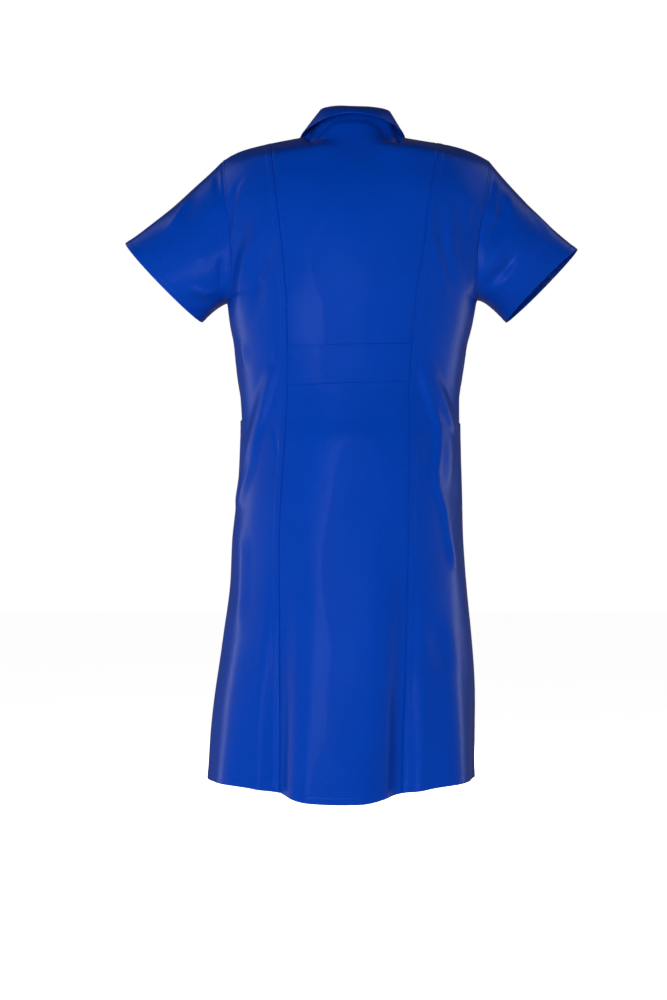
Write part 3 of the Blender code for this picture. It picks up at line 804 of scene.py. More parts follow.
FOLDS = (
    Fold(0.0, -500.0, 6.5, -968.0, 25.0, 13.0, True, 0.42, 3.0),
    Fold(31.0, -560.0, 31.0, -968.0, 9.0, -12.0, True),
    Fold(-25.0, -560.0, -22.0, -968.0, 9.0, -13.0, True, 0.1),
    Fold(54.0, -600.0, 55.0, -968.0, 15.0, 7.0, True),
    Fold(-48.0, -580.0, -50.0, -968.0, 15.0, 7.0, True),
    Fold(-76.0, -640.0, -74.0, -968.0, 14.0, -5.0, True),
    Fold(128.0, -560.0, 126.0, -968.0, 17.0, 9.0, True),
    Fold(151.0, -640.0, 150.0, -968.0, 12.0, -6.0, True),
    Fold(-122.0, -590.0, -124.0, -968.0, 18.0, 10.0, True),
    Fold(-150.0, -620.0, -149.0, -968.0, 13.0, -7.0, True),
    Fold(38.0, -330.0, 76.0, -560.0, 9.0, 4.0, False),
    Fold(-38.0, -330.0, -70.0, -470.0, 9.0, 4.0, False),
    Fold(-60.0, -410.0, -50.0, -560.0, 9.0, 3.5, False),
    Fold(48.0, -90.0, 70.0, -262.0, 9.0, -4.5, False),
    Fold(-52.0, -80.0, -58.0, -250.0, 9.0, -3.5, False),
    Fold(146.0, -235.0, 104.0, -130.0, 10.0, -4.0, False),
    Fold(-144.0, -240.0, -106.0, -120.0, 10.0, -4.0, False),
    Fold(142.0, -330.0, 112.0, -520.0, 9.0, 4.0, False),
    Fold(-140.0, -330.0, -116.0, -540.0, 9.0, 4.0, False),
)


def drawn_on(side: Side, *rows: tuple) -> tuple[Crease, ...]:
    """Draw creases on one side of the coat."""
    return tuple(Crease(side, *row) for row in rows)


# Each row holds a route, its half width and rise, and then lean, sharpness and fade where set
CREASES = (
    *drawn_on(
        Side.BACK,
        # The left shoulder blade and armhole
        (((150.0, -66.0), (165.0, -88.0), (174.0, -132.0), (179.0, -178.0)), 7.0, -3.0, 0.2, 0.6),
        (((113.0, -124.0), (133.0, -167.0), (151.0, -196.0), (160.0, -231.0), (162.0, -280.0)),
         16.0, 3.2, 0.35, 0.5),
        (((104.0, -150.0), (120.0, -190.0), (134.0, -225.0), (138.0, -290.0)), 17.0, -4.5),
        # The right shoulder blade and armhole
        (((-127.0, -98.0), (-129.0, -162.0), (-142.0, -219.0), (-155.0, -262.0)), 14.0, -3.4, -0.2),
        (((-150.0, -110.0), (-154.0, -170.0), (-165.0, -228.0)), 14.0, 0.8),
        (((-182.0, -108.0), (-174.0, -165.0)), 8.0, -1.8),
        # The left waist and hip
        (((165.0, -306.0), (157.0, -326.0), (153.0, -354.0)), 9.0, 2.4, -0.5, 0.7),
        (((108.0, -320.0), (106.5, -354.0)), 6.0, 1.6, 0.0, 0.5),
        (((107.0, -344.0), (119.0, -388.0), (127.0, -422.0), (137.0, -460.0), (145.0, -498.0),
          (157.0, -533.0), (165.0, -562.0)), 15.0, 3.8, 0.3, 0.45, 0.1),
        (((164.0, -574.0), (156.0, -624.0), (158.0, -684.0), (167.0, -742.0)),
         18.0, 3.6, 0.1, 0.4, 0.3),
        (((113.0, -422.0), (103.0, -492.0)), 4.5, -1.2),
        # The right waist and hip
        (((-96.0, -338.0), (-106.0, -377.0), (-116.0, -403.0), (-126.0, -438.0), (-126.0, -473.0),
          (-121.0, -505.0), (-124.0, -530.0), (-134.0, -556.0), (-138.0, -587.0), (-144.0, -619.0),
          (-153.0, -658.0)), 20.0, 5.4, -0.4, 0.6, 0.12),
        (((-128.0, -398.0), (-146.0, -428.0), (-160.0, -462.0)), 10.0, 1.3),
        (((-116.0, -700.0), (-128.0, -750.0), (-146.0, -812.0)), 24.0, -3.4),
    ),
    *drawn_on(
        Side.FRONT,
        (((158.0, -186.0), (128.0, -214.0), (98.0, -232.0)), 13.0, 2.8, 0.2, 0.4),
        (((150.0, -212.0), (112.0, -262.0)), 12.0, -2.6),
        (((-156.0, -176.0), (-134.0, -206.0), (-108.0, -246.0)), 13.0, 3.0, 0.0, 0.4),
        (((-162.0, -214.0), (-132.0, -252.0)), 11.0, -2.4),
        (((152.0, -300.0), (124.0, -356.0), (114.0, -420.0)), 14.0, 3.4, 0.3, 0.5),
        (((-154.0, -292.0), (-128.0, -372.0), (-112.0, -452.0)), 13.0, 3.2, -0.3, 0.5),
        (((142.0, -360.0), (104.0, -392.0)), 9.0, -2.2),
        (((-146.0, -352.0), (-106.0, -372.0)), 8.0, -2.0),
        (((22.0, -298.0), (52.0, -316.0), (86.0, -322.0)), 7.0, 1.6, 0.0, 0.3),
        (((20.0, -392.0), (56.0, -380.0), (82.0, -358.0)), 7.0, 1.5, 0.0, 0.3),
        (((-22.0, -392.0), (-60.0, -404.0), (-94.0, -400.0)), 7.0, 1.7, 0.0, 0.3),
        (((-20.0, -486.0), (-48.0, -506.0), (-66.0, -540.0)), 7.0, 1.3, 0.0, 0.3),
        (((58.0, -560.0), (50.0, -700.0), (52.0, -840.0)), 15.0, 2.4),
        (((-70.0, -600.0), (-62.0, -720.0), (-64.0, -870.0)), 16.0, 2.8),
    ),
    *drawn_on(
        Side.LEFT,
        (((24.0, -286.0), (8.0, -350.0), (-18.0, -420.0)), 11.0, 2.2, 0.0, 0.3),
        (((-34.0, -300.0), (-46.0, -372.0)), 9.0, -2.0),
        (((-40.0, -620.0), (-34.0, -780.0)), 15.0, -2.6),
    ),
    *drawn_on(
        Side.RIGHT,
        (((20.0, -290.0), (2.0, -366.0), (-26.0, -428.0)), 11.0, 2.4, 0.0, 0.3),
        (((-30.0, -306.0), (-48.0, -360.0)), 9.0, -1.8),
        (((-44.0, -640.0), (-32.0, -800.0)), 16.0, -2.8),
    ),
)
SLEEVE_CREASES = (
    *drawn_on(
        Side.BACK,
        (((226.0, -76.0), (248.0, -110.0), (261.0, -138.0), (284.0, -154.0)), 17.0, 4.2, 0.2, 0.7),
        (((199.0, -48.0), (195.0, -84.0), (191.0, -112.0)), 8.0, -2.6),
        (((188.0, -184.0), (191.0, -238.0)), 8.0, -2.6),
        (((244.0, -231.0), (214.0, -240.0), (190.0, -234.0)), 8.0, 2.6, 0.0, 0.5),
        (((240.0, -246.0), (206.0, -256.0)), 9.0, -3.0),
        (((-210.0, -54.0), (-207.0, -92.0), (-196.0, -130.0)), 9.0, -3.4),
        (((-224.0, -78.0), (-224.0, -128.0), (-208.0, -162.0), (-194.0, -176.0)), 15.0, -5.4),
        (((-246.0, -176.0), (-226.0, -206.0), (-204.0, -226.0), (-192.0, -234.0)), 14.0, -6.0),
        (((-244.0, -150.0), (-202.0, -192.0)), 10.0, 2.0),
        (((-190.0, -248.0), (-212.0, -247.0)), 7.0, 2.6, 0.0, 0.5),
        (((-262.0, -96.0), (-306.0, -152.0)), 14.0, 3.0, 0.0, 0.5),
    ),
    *drawn_on(
        Side.FRONT,
        (((204.0, -108.0), (230.0, -152.0)), 13.0, 2.8, 0.0, 0.3),
        (((194.0, -228.0), (240.0, -206.0)), 10.0, -2.8),
        (((-200.0, -118.0), (-232.0, -164.0)), 12.0, 2.4, 0.0, 0.3),
        (((-190.0, -232.0), (-234.0, -214.0)), 10.0, -3.0),
    ),
)


@dataclass(frozen=True)
class CoatForm:
    """The form of the worn coat, and every line on it that the pieces share."""

    roundness: float = 0.87
    neck_station: float = 0.6
    front_fan: float = 0.38
    lap: float = 20.0
    hem_lift: float = 9.0
    neck_lean: float = -4.0
    neck_half_width: float = 74.0
    neck_back_depth: float = 58.0
    neck_back_rise: float = 8.0
    neck_back_dip: float = 20.0     # of the neck seam between its middle and the shoulders
    neck_front_depth: float = 76.0
    neck_front_drop: float = 72.0
    shoulder_lean: float = -9.0
    shoulder_half_width: float = 201.0
    shoulder_slope: float = 22.0
    shoulder_round: float = 14.0
    shoulder_forward: float = 6.0
    shoulder_seam_left: float = 127.0
    shoulder_seam_right: float = 120.0
    mean_half_width: float = 180.0
    mean_depth: float = 128.0
    underarm_row: int = 12
    row_step: float = 3.0
    hem_steps: tuple[float, ...] = (0.0, 0.8, 2.0, 4.5, 7.5, 9.2, 10.0, 10.8, 12.5, 15.5, 19.0)

    def heights(self) -> Array:
        """List where the mesh rows cross the tables' rows: 0 is the hem.

        Returns:
            Rising numbers; whole ones lie on the tables' rows, and the last is the top edge.
        """
        levels = [row.middle_z for row in BACK_ROWS] + [self.neck_back_rise]
        first_span = levels[1] - levels[0]
        found = [step / first_span for step in self.hem_steps]
        for number, (low, high) in enumerate(zip(levels, levels[1:])):
            steps = max(2, round((high - low) / self.row_step))
            found += [number + (step + 1) / steps for step in range(steps)
                      if number + (step + 1) / steps > found[-1] + 0.02]
        return np.array(found)

    def row_points(self, row: Row, hand: Hand, facing: Facing, stations: Array) -> Array:
        """Place stations of a row: 0 is the middle, 1 the princess seam, 2 the side.

        Args:
            row: The row of the table.
            hand: The wearer's side.
            facing: Back or front.
            stations: Below 0 they lie past the middle, in the lap.

        Returns:
            One point for each station.
        """
        turn = math.radians(row.turn)
        full_across = math.sin(turn) ** self.roundness
        end_bend = math.cos(turn) ** self.roundness
        seam = row.seam_left if hand is Hand.LEFT else row.seam_right

        def bend_at(across: Array) -> Array:
            """Turn a level distance into an angle of the section."""
            share = np.clip(across / row.half_width * full_across, 0.0, 1.0)
            return np.arcsin(share ** (1.0 / self.roundness))

        fan = 0.0
        if facing is Facing.FRONT:
            fan = self.front_fan * (90.0 - row.turn) / 45.0
        inside = bend_at(np.clip(stations, 0.0, 1.0) ** (1.0 - fan) * seam)
        seam_bend = bend_at(np.array(seam))
        outside = seam_bend + (stations - 1.0) * (turn - seam_bend)
        lapped = bend_at(np.maximum(-stations, 0.0) * self.lap)
        bend = np.where(stations < 0.0, lapped, np.where(stations <= 1.0, inside, outside))
        side = np.where(stations < 0.0, -hand.value, hand.value)

        across = np.sin(bend) ** self.roundness / full_across
        cosine = np.maximum(np.cos(bend), 0.0)
        outward = (cosine ** self.roundness - end_bend) / (1.0 - end_bend)
        lift = 0.0
        if row in (BACK_ROWS[0], FRONT_ROWS[0]):
            lift = self.hem_lift * np.sin(2.0 * bend) ** 2
        return np.stack((
            row.lean + side * row.half_width * across,
            facing.value * (row.side_y + (row.depth - row.side_y) * outward),
            row.middle_z + (row.side_z - row.middle_z) * across * across + lift,
        ), axis=-1)

    def neck_points(self, hand: Hand, facing: Facing, turns: Array) -> Array:
        """Place points of the neck seam.

        Args:
            hand: The wearer's side.
            facing: Back or front.
            turns: 0 at the middle and a quarter turn, in radians, at the shoulder.

        Returns:
            One point for each turn.
        """
        depth, rise, dip = self.neck_back_depth, self.neck_back_rise, self.neck_back_dip
        if facing is Facing.FRONT:
            depth, rise, dip = self.neck_front_depth, -self.neck_front_drop, 0.0
        quarter = turns / (math.pi / 2.0)
        dipped = dip * smooth((quarter - 0.16) / 0.4) * smooth((1.0 - quarter) / 0.18)
        return np.stack((
            self.neck_lean + hand.value * self.neck_half_width * np.sin(turns),
            facing.value * depth * np.cos(turns),
            rise * np.cos(turns) - dipped,
        ), axis=-1)

    def top_points(self, hand: Hand, facing: Facing, stations: Array) -> Array:
        """Place stations of the top edge, which is the neck seam and then the shoulder seam.

        Args:
            hand: The wearer's side.
            facing: Back or front.
            stations: As in row_points.

        Returns:
            One point for each station.
        """
        turns = math.pi / 2.0 * np.clip(stations, 0.0, self.neck_station) / self.neck_station
        on_neck = self.neck_points(hand, facing, turns)
        past_middle = np.arcsin(np.maximum(-stations, 0.0) * self.lap / self.neck_half_width)
        mirrored = on_neck.copy()
        mirrored[:, 0] = self.neck_lean - hand.value * self.neck_half_width * np.sin(past_middle)

        neck_x = self.neck_lean + hand.value * self.neck_half_width
        tip_x = self.shoulder_lean + hand.value * self.shoulder_half_width
        reach = self.shoulder_seam_left if hand is Hand.LEFT else -self.shoulder_seam_right
        seam_x = self.shoulder_lean + reach
        yoke = (stations - self.neck_station) / (1.0 - self.neck_station) * (seam_x - neck_x)
        outer = seam_x - neck_x + (stations - 1.0) * (tip_x - seam_x)
        across = np.where(stations <= 1.0, yoke, outer)
        part = np.maximum(across / (tip_x - neck_x), 0.0)
        on_shoulder = np.stack((
            neck_x + across,
            -self.shoulder_forward * part,
            -self.shoulder_slope * part - self.shoulder_round * part ** 5,
        ), axis=-1)
        found = np.where((stations <= self.neck_station)[:, None], on_neck, on_shoulder)
        return np.where((stations < 0.0)[:, None], mirrored, found)

    def outward(self, points: Array) -> Array:
        """Point level away from the coat's middle."""
        away = np.stack((points[..., 0] / self.mean_half_width ** 2,
                         points[..., 1] / self.mean_depth ** 2,
                         np.zeros(points.shape[:-1])), axis=-1)
        return away / np.maximum(np.linalg.norm(away, axis=-1, keepdims=True), 1e-12)

    def folded(self, points: Array) -> tuple[Array, Array]:
        """Add up what the long folds lift points by.

        Args:
            points: Any number of points.

        Returns:
            How far each point is lifted, and how far it drops.
        """
        angles = np.degrees(np.arctan2(points[..., 0] / self.mean_half_width,
                                       points[..., 1] / self.mean_depth))
        rise, drop = np.zeros(points.shape[:-1]), np.zeros(points.shape[:-1])
        for fold in FOLDS:
            part = (points[..., 2] - fold.top_z) / (fold.foot_z - fold.top_z)
            line = fold.top_angle + (fold.foot_angle - fold.top_angle) * part
            off_line = np.abs((angles - line + 180.0) % 360.0 - 180.0)
            across = smooth((1.0 - off_line / fold.half_angle) / (1.0 - fold.flat))
            if fold.to_hem:
                along = smooth(part)
            else:
                along = np.sin(math.pi * np.clip(part, 0.0, 1.0)) ** 2
            rise += fold.rise * across * along
            drop += fold.drop * across * smooth((part - 0.8) / 0.2)
        return rise, drop

    def unevenness(self, points: Array) -> Array:
        """Let the cloth wander a little, as hanging cloth does."""
        x, y, z = points[..., 0], points[..., 1], points[..., 2]
        return (
            0.55 * np.sin(x / 23.0 + z / 71.0 + 1.3)
            + 0.45 * np.sin(x / 37.0 - z / 43.0 + y / 29.0)
            + 0.40 * np.sin(y / 19.0 + z / 57.0 + 2.1)
            + 0.25 * np.sin(x / 13.0 + y / 17.0 - z / 31.0 + 0.4)
        )

    def creased(self, points: Array) -> Array:
        """Add the folds, the creases and the unevenness to the plain form.

        Args:
            points: Points of the plain form.

        Returns:
            Points of the cloth.
        """
        rise, drop = self.folded(points)
        folded = points + self.outward(points) * rise[..., None]
        folded[..., 2] -= drop
        lift = self.unevenness(folded) * smooth((30.0 - folded[..., 2]) / 60.0)
        for crease in CREASES:
            lift = lift + crease.height(folded)
        tilt = self.outward(folded)
        tilt[..., 2] += 1.2 * smooth((folded[..., 2] + 90.0) / 90.0)
        tilt /= np.linalg.norm(tilt, axis=-1, keepdims=True)
        return folded + tilt * lift[..., None]

    def columns(self, hand: Hand, facing: Facing, stations: Array, heights: Array) -> Array:
        """Lay out the plain form over stations and heights.

        Args:
            hand: The wearer's side.
            facing: Back or front.
            stations: As in row_points.
            heights: As heights() lists them.

        Returns:
            Heights by stations by 3.
        """
        rows = BACK_ROWS if facing is Facing.BACK else FRONT_ROWS
        knots = np.stack([self.row_points(row, hand, facing, stations) for row in rows]
                         + [self.top_points(hand, facing, stations)])
        plain = curve_through(knots, heights)
        # The side seam and the armhole are two edges that meet in a corner under the arm.
        cut = self.underarm_row
        below = heights <= cut
        split = np.concatenate((
            curve_through(knots[:cut + 1], heights[below]),
            curve_through(knots[cut:], heights[~below] - cut),
        ))
        cornered = smooth((stations - 1.8) / 0.2)[None, :, None]
        return plain * (1.0 - cornered) + split * cornered

    def back(self, reach: float, heights: Array) -> tuple[Array, Array]:
        """Lay out the middle of the back, from the wearer's right to the left.

        Args:
            reach: The station at which it ends on either hand.
            heights: As heights() lists them.

        Returns:
            The stations, below 0 on the right, and heights by stations by 3 on the plain form.
        """
        right, left = np.linspace(-reach, 0.0, FINE_STEPS), np.linspace(0.0, reach, FINE_STEPS)
        across = np.concatenate((right, left[1:]))
        return across, np.where(
            (across < 0.0)[None, :, None],
            self.columns(Hand.RIGHT, Facing.BACK, np.abs(across), heights),
            self.columns(Hand.LEFT, Facing.BACK, np.abs(across), heights),
        )


# Where the lines of a mesh run beside an edge, from the edge inwards
AT_BREAK = (0.0,)
BESIDE_FELLED_SEAM = (0.0, 0.5, 1.2, 2.4, 4.2, 6.4, 8.2, 9.0, 9.7, 10.4, 11.8, 14.2, 17.5)
BESIDE_SEAM = (0.0, 0.6, 1.4, 2.8, 5.0, 8.0)
BESIDE_ARMHOLE = (0.0, 0.6, 1.4, 2.8, 4.6, 5.5, 6.1, 6.8, 8.4, 11.0)
BESIDE_FRONT_EDGE = (0.0, 0.5, 1.4, 3.0, 4.4, 5.1, 5.8, 7.4, 10.0)
BESIDE_CUFF = (0.0, 0.8, 2.2, 4.6, 7.2, 8.4, 9.0, 9.6, 11.2, 13.6)
BESIDE_STAND_SEAM = (0.0, 0.8, 2.0)
BESIDE_LEAF_EDGE = (0.0, 0.6, 1.6, 3.2, 4.4, 5.1, 5.8, 7.4)
BESIDE_COLLAR_END = (1.0, 1.6, 3.0, 5.0, 6.1, 8.0)      # the two ends stay clear of each other
BESIDE_BELT_EDGE = (0.0, 0.5, 1.2, 2.0, 2.8, 4.2)
BESIDE_BELT_END = (0.3, 0.9, 1.8, 3.2)
BESIDE_POCKET_EDGE = (0.4, 0.9, 1.8, 2.7, 4.2)
BESIDE_POCKET_MOUTH = (0.0, 0.6, 1.6, 4.0, 9.0, 14.0, 18.4, 19.3, 20.0, 20.7, 22.4)


@dataclass
class BodyPanels:
    """The five panels of the body."""

    form: CoatForm
    cloth: float = 0.9
    turnings: float = 0.7       # extra thickness inside, where the cloth is turned in
    hem: float = 10.0
    felled: float = 9.7
    armhole_stitch: float = 6.1
    front_stitch: float = 5.1
    lap_lift: float = 2.6
    lap_ease: float = 25.0
    back_centre_cut: Cut = Cut(0.25, 1.03, 0.202)
    left_side_cut: Cut = Cut(0.191, 1.006, 0.135)
    right_side_cut: Cut = Cut(0.195, 1.013, 0.144)
    front_cut: Cut = Cut(0.301, 1.006, 0.245)

    def __post_init__(self) -> None:
        """Work out the shared rows and the place inside the coat that outer faces look away from."""
        self.heights = self.form.heights()
        self.underarm = int(np.argmin(np.abs(self.heights - self.form.underarm_row)))
        self.inside = np.array((BACK_ROWS[0].lean, 0.0, BACK_ROWS[0].side_z))
        self.stitching: list[StitchLine] = []
        self.faces: dict[str, ClothGrid] = {}

    def stretch(self, hand: Hand, facing: Facing, start: float, end: float,
                first: tuple[float, ...], last: tuple[float, ...], count: int) -> Array:
        """Lay out a stretch of a panel between two stations, with its columns spaced out."""
        stations = np.linspace(start, end, FINE_COLUMNS)
        return respaced(self.form.columns(hand, facing, stations, self.heights), first, last, count)

    def joined(self, stretches: list[Array]) -> ClothGrid:
        """Join stretches that share their end columns, and give them their folds and creases."""
        plain = np.concatenate([stretches[0]] + [part[:, 1:] for part in stretches[1:]], axis=1)
        return ClothGrid(self.form.creased(plain), self.inside)

    def hem_relief(self, phase: float) -> Relief:
        """Turn up the hem and stitch it."""
        return Relief(Edge.FOOT, rise=0.3, stitches=(self.hem,), pucker=0.1, phase=phase)

    def side_reliefs(self, phase: float) -> tuple[Relief, ...]:
        """Shape the side seam and the armhole at a panel's last column.

        Args:
            phase: Sets these puckers apart from others.

        Returns:
            The reliefs.
        """
        return (
            Relief(Edge.LAST, sink=0.5, pucker=0.1, phase=phase, stop=self.underarm),
            Relief(Edge.LAST, sink=0.35, rise=0.35, stitches=(self.armhole_stitch,),
                   pucker=0.12, phase=phase + 1.0, start=self.underarm),
            Relief(Edge.TOP, sink=0.4, pucker=0.08, phase=phase + 2.0),
        )

    def finish(self, name: str, laid: ClothGrid, reliefs: tuple[Relief, ...], cut: Cut,
               cloth: bpy.types.Material, lift: Array | float = 0.0) -> None:
        """Make one panel and attach it to the root.

        Args:
            name: The solid that it stands for.
            laid: The laid out panel.
            reliefs: What stands up or sinks beside its edges.
            cut: Its flat size; not used.
            cloth: The cloth.
            lift: How far the panel, or each of its points, lies further out.
        """
        outer = laid.raised(reliefs).moved(lift)
        from_hem, _ = outer.distances(Edge.FOOT)
        thickness = turned_in(self.cloth, self.turnings, from_hem, self.hem)
        self.faces[name] = outer
        self.stitching += sew_in(name, outer, thickness, cloth, reliefs, [])

    def build_back(self, cloth: bpy.types.Material) -> None:
        """Make the middle and the sides of the back.

        Args:
            cloth: The cloth.
        """
        neck = self.form.neck_station
        _, middle = self.form.back(neck, self.heights)
        laid = self.joined([
            self.stretch(Hand.RIGHT, Facing.BACK, 1.0, neck, BESIDE_SEAM, AT_BREAK, 9),
            respaced(middle, AT_BREAK, AT_BREAK, 38),
            self.stretch(Hand.LEFT, Facing.BACK, neck, 1.0, AT_BREAK, BESIDE_SEAM, 9),
        ])
        reliefs = (
            Relief(Edge.FIRST, sink=1.0, sink_width=1.9, pucker=0.1, phase=0.3),
            Relief(Edge.LAST, sink=1.0, sink_width=1.9, pucker=0.1, phase=1.4),
            Relief(Edge.TOP, sink=0.4),
            self.hem_relief(0.7),
        )
        self.finish("back_centre", laid, reliefs, self.back_centre_cut, cloth)
        for hand in Hand:
            phase = 2.0 + 0.9 * hand.value
            laid = self.joined([self.stretch(hand, Facing.BACK, 1.0, 2.0,
                                             BESIDE_FELLED_SEAM, BESIDE_ARMHOLE, 36)])
            reliefs = (
                Relief(Edge.FIRST, sink=1.0, sink_width=1.1, rise=0.5, stitches=(self.felled,),
                       pucker=0.14, phase=phase),
                *self.side_reliefs(phase + 0.6),
                self.hem_relief(phase + 1.1),
            )
            cut = self.left_side_cut if hand is Hand.LEFT else self.right_side_cut
            self.finish(hand.of("back_side"), laid, reliefs, cut, cloth)

    def build_fronts(self, cloth: bpy.types.Material) -> None:
        """Make the fronts, the right one lapping over the left one.

        Args:
            cloth: The cloth.
        """
        neck = self.form.neck_station
        for hand in Hand:
            lap = self.stretch(hand, Facing.FRONT, -1.0, 0.0, BESIDE_FRONT_EDGE, AT_BREAK, 3)
            laid = self.joined([
                lap,
                self.stretch(hand, Facing.FRONT, 0.0, neck, AT_BREAK, AT_BREAK, 17),
                self.stretch(hand, Facing.FRONT, neck, 1.0, AT_BREAK, AT_BREAK, 11),
                self.stretch(hand, Facing.FRONT, 1.0, 2.0, AT_BREAK, BESIDE_ARMHOLE, 36),
            ])
            phase = 5.0 + 1.3 * hand.value
            reliefs = (
                Relief(Edge.FIRST, rise=0.3, stitches=(self.front_stitch,), pucker=0.08,
                       phase=phase),
                *self.side_reliefs(phase + 0.6),
                self.hem_relief(phase + 1.1),
            )
            lift = 0.0
            if hand is Hand.RIGHT:
                x = laid.points[:, :, 0]
                middle = x[:, lap.shape[1] - 1:lap.shape[1]]
                past_lap = middle - x - self.form.lap
                lift = self.lap_lift * (1.0 - smooth(past_lap / self.lap_ease))
            self.finish(hand.of("front"), laid, reliefs, self.front_cut, cloth, lift)


@dataclass(frozen=True)
class SleeveShape:
    """The top and bottom of a cuff, as the sleeve is seen from the back."""

    top_x: float
    top_z: float
    bottom_x: float
    bottom_z: float
    middle_y: float
    half_depth: float
    front_reach: float
    underarm_bow: float     # how far the line under the arm is drawn up
    top_sag: float


@dataclass
class SetInSleeves:
    """The short sleeves, each closed by its underarm seam."""

    form: CoatForm
    left: SleeveShape = SleeveShape(336.0, -158.0, 223.0, -276.0, -8.0, 50.0, -14.0, 5.0, 4.5)
    right: SleeveShape = SleeveShape(-342.0, -168.0, -235.0, -276.0, -8.0, 48.0, 9.0, 12.0,
                                     8.5)
    swell: float = 5.0
    cloth: float = 0.9
    turnings: float = 0.7
    hem: float = 9.0
    ring_steps: int = 84        # up one side of the armhole
    armhole_ease: float = 12.0  # over which the sleeve takes up its own creases
    cut: Cut = Cut(0.45, 0.20, 0.054)

    def ring(self, hand: Hand) -> tuple[Array, Array]:
        """Run round the armhole from the underarm: up the back and down the front.

        Args:
            hand: The wearer's side.

        Returns:
            The points, and the angle of each round the sleeve in radians.
        """
        first, last = float(self.form.underarm_row), float(len(BACK_ROWS))
        heights = np.linspace(first, last, self.ring_steps)
        edge = np.array([2.0])
        up_back = self.form.columns(hand, Facing.BACK, edge, heights)[:, 0]
        down_front = self.form.columns(hand, Facing.FRONT, edge, heights)[::-1][1:, 0]
        turned = math.pi * (heights - first) / (last - first)
        angles = np.concatenate((turned, 2.0 * math.pi - turned[::-1][1:]))
        return self.form.creased(np.concatenate((up_back, down_front))), angles

    def laid(self, hand: Hand) -> ClothGrid:
        """Loft a sleeve from its armhole to the oval of its cuff.

        Args:
            hand: The wearer's side.

        Returns:
            The laid out sleeve, the armhole first.
        """
        shape = self.left if hand is Hand.LEFT else self.right
        ring, angles = self.ring(hand)
        top = np.array((shape.top_x, shape.middle_y, shape.top_z))
        bottom = np.array((shape.bottom_x, shape.middle_y, shape.bottom_z))
        half_height = (top - bottom) / 2.0
        outward = np.array((half_height[2], 0.0, -half_height[0]))
        outward *= math.copysign(1.0, outward[0] * shape.top_x) / np.linalg.norm(outward)
        half_depth = np.array((0.0, shape.half_depth, 0.0)) - outward * shape.front_reach / 2.0
        cuff = ((top + bottom) / 2.0 + np.sin(angles)[:, None] * half_depth
                - np.cos(angles)[:, None] * half_height)
        parts = np.linspace(0.0, 1.0, FINE_STEPS)[:, None, None]
        plain = ring[None] * (1.0 - parts) + cuff[None] * parts
        plain[:, :, 1] += (self.swell * np.sin(angles)[None, :]
                           * (4.0 * parts * (1.0 - parts))[:, :, 0])
        low = ((1.0 + np.cos(angles)) / 2.0)[None, :] ** 2
        high = ((1.0 - np.cos(angles)) / 2.0)[None, :] ** 2
        part = parts[:, :, 0]
        plain[:, :, 2] += shape.underarm_bow * low * np.sin(math.pi * part ** 0.6)
        plain[:, :, 2] -= shape.top_sag * high * np.sin(math.pi * part ** 0.8)
        points = respaced(plain.swapaxes(0, 1), BESIDE_SEAM, BESIDE_CUFF, 34).swapaxes(0, 1)
        laid = ClothGrid(points, ring.mean(axis=0))
        from_armhole, _ = laid.distances(Edge.FOOT)
        lift = sum(crease.height(laid.points) for crease in SLEEVE_CREASES)
        lift = lift + self.form.unevenness(laid.points)
        return laid.moved(lift * smooth(from_armhole / self.armhole_ease))

    def build(self, cloth: bpy.types.Material) -> list[StitchLine]:
        """Make both sleeves.

        Args:
            cloth: The cloth.

        Returns:
            Their stitch lines.
        """
        found = []
        for hand in Hand:
            phase = 3.3 + 1.7 * hand.value
            reliefs = (
                Relief(Edge.FOOT, sink=0.45, pucker=0.12, phase=phase),
                Relief(Edge.TOP, rise=0.3, stitches=(self.hem,), pucker=0.1, phase=phase + 1.0),
                Relief(Edge.FIRST, sink=0.4, sink_width=4.0),
                Relief(Edge.LAST, sink=0.4, sink_width=4.0),
            )
            outer = self.laid(hand).raised(reliefs)
            from_cuff, _ = outer.distances(Edge.TOP)
            thickness = turned_in(self.cloth, self.turnings, from_cuff, self.hem)
            found += sew_in(hand.of("sleeve"), outer, thickness, cloth, reliefs, [])
        return found


# Fold and outer edge of the collar, from the middle of the back to the middle of the front:
# level place, depth and height of the fold, and then of the edge
COLLAR_MIDDLE = (0.0, 45.0, 34.5, 0.0, 85.0, 14.0)
COLLAR_FRONT = (
    (44.0, -40.0, -3.0, 82.0, -50.0, -34.0),
    (25.0, -60.0, -32.0, 73.0, -87.0, -78.0),
    (0.0, -71.0, -52.0, 37.0, -103.0, -108.0),
)
COLLAR_STATIONS = {
    Hand.LEFT: (
        COLLAR_MIDDLE,
        (25.0, 42.0, 36.3, 33.0, 76.5, 11.0),
        (45.0, 29.0, 36.0, 54.0, 57.0, 6.0),
        (48.5, 20.0, 31.0, 68.0, 34.0, 2.0),
        (54.0, -6.0, 20.0, 76.0, 7.0, 0.0),
        (51.0, -24.0, 11.0, 81.5, -20.0, -10.0),
        *COLLAR_FRONT,
    ),
    Hand.RIGHT: (
        COLLAR_MIDDLE,
        (29.0, 42.0, 34.5, 34.0, 76.5, 10.5),
        (52.0, 29.0, 33.5, 57.0, 57.0, 5.0),
        (55.0, 20.0, 28.0, 69.0, 34.0, 1.5),
        (57.0, -6.0, 18.0, 76.0, 7.0, 0.0),
        (52.0, -24.0, 10.0, 81.5, -20.0, -10.0),
        *COLLAR_FRONT,
    ),
}


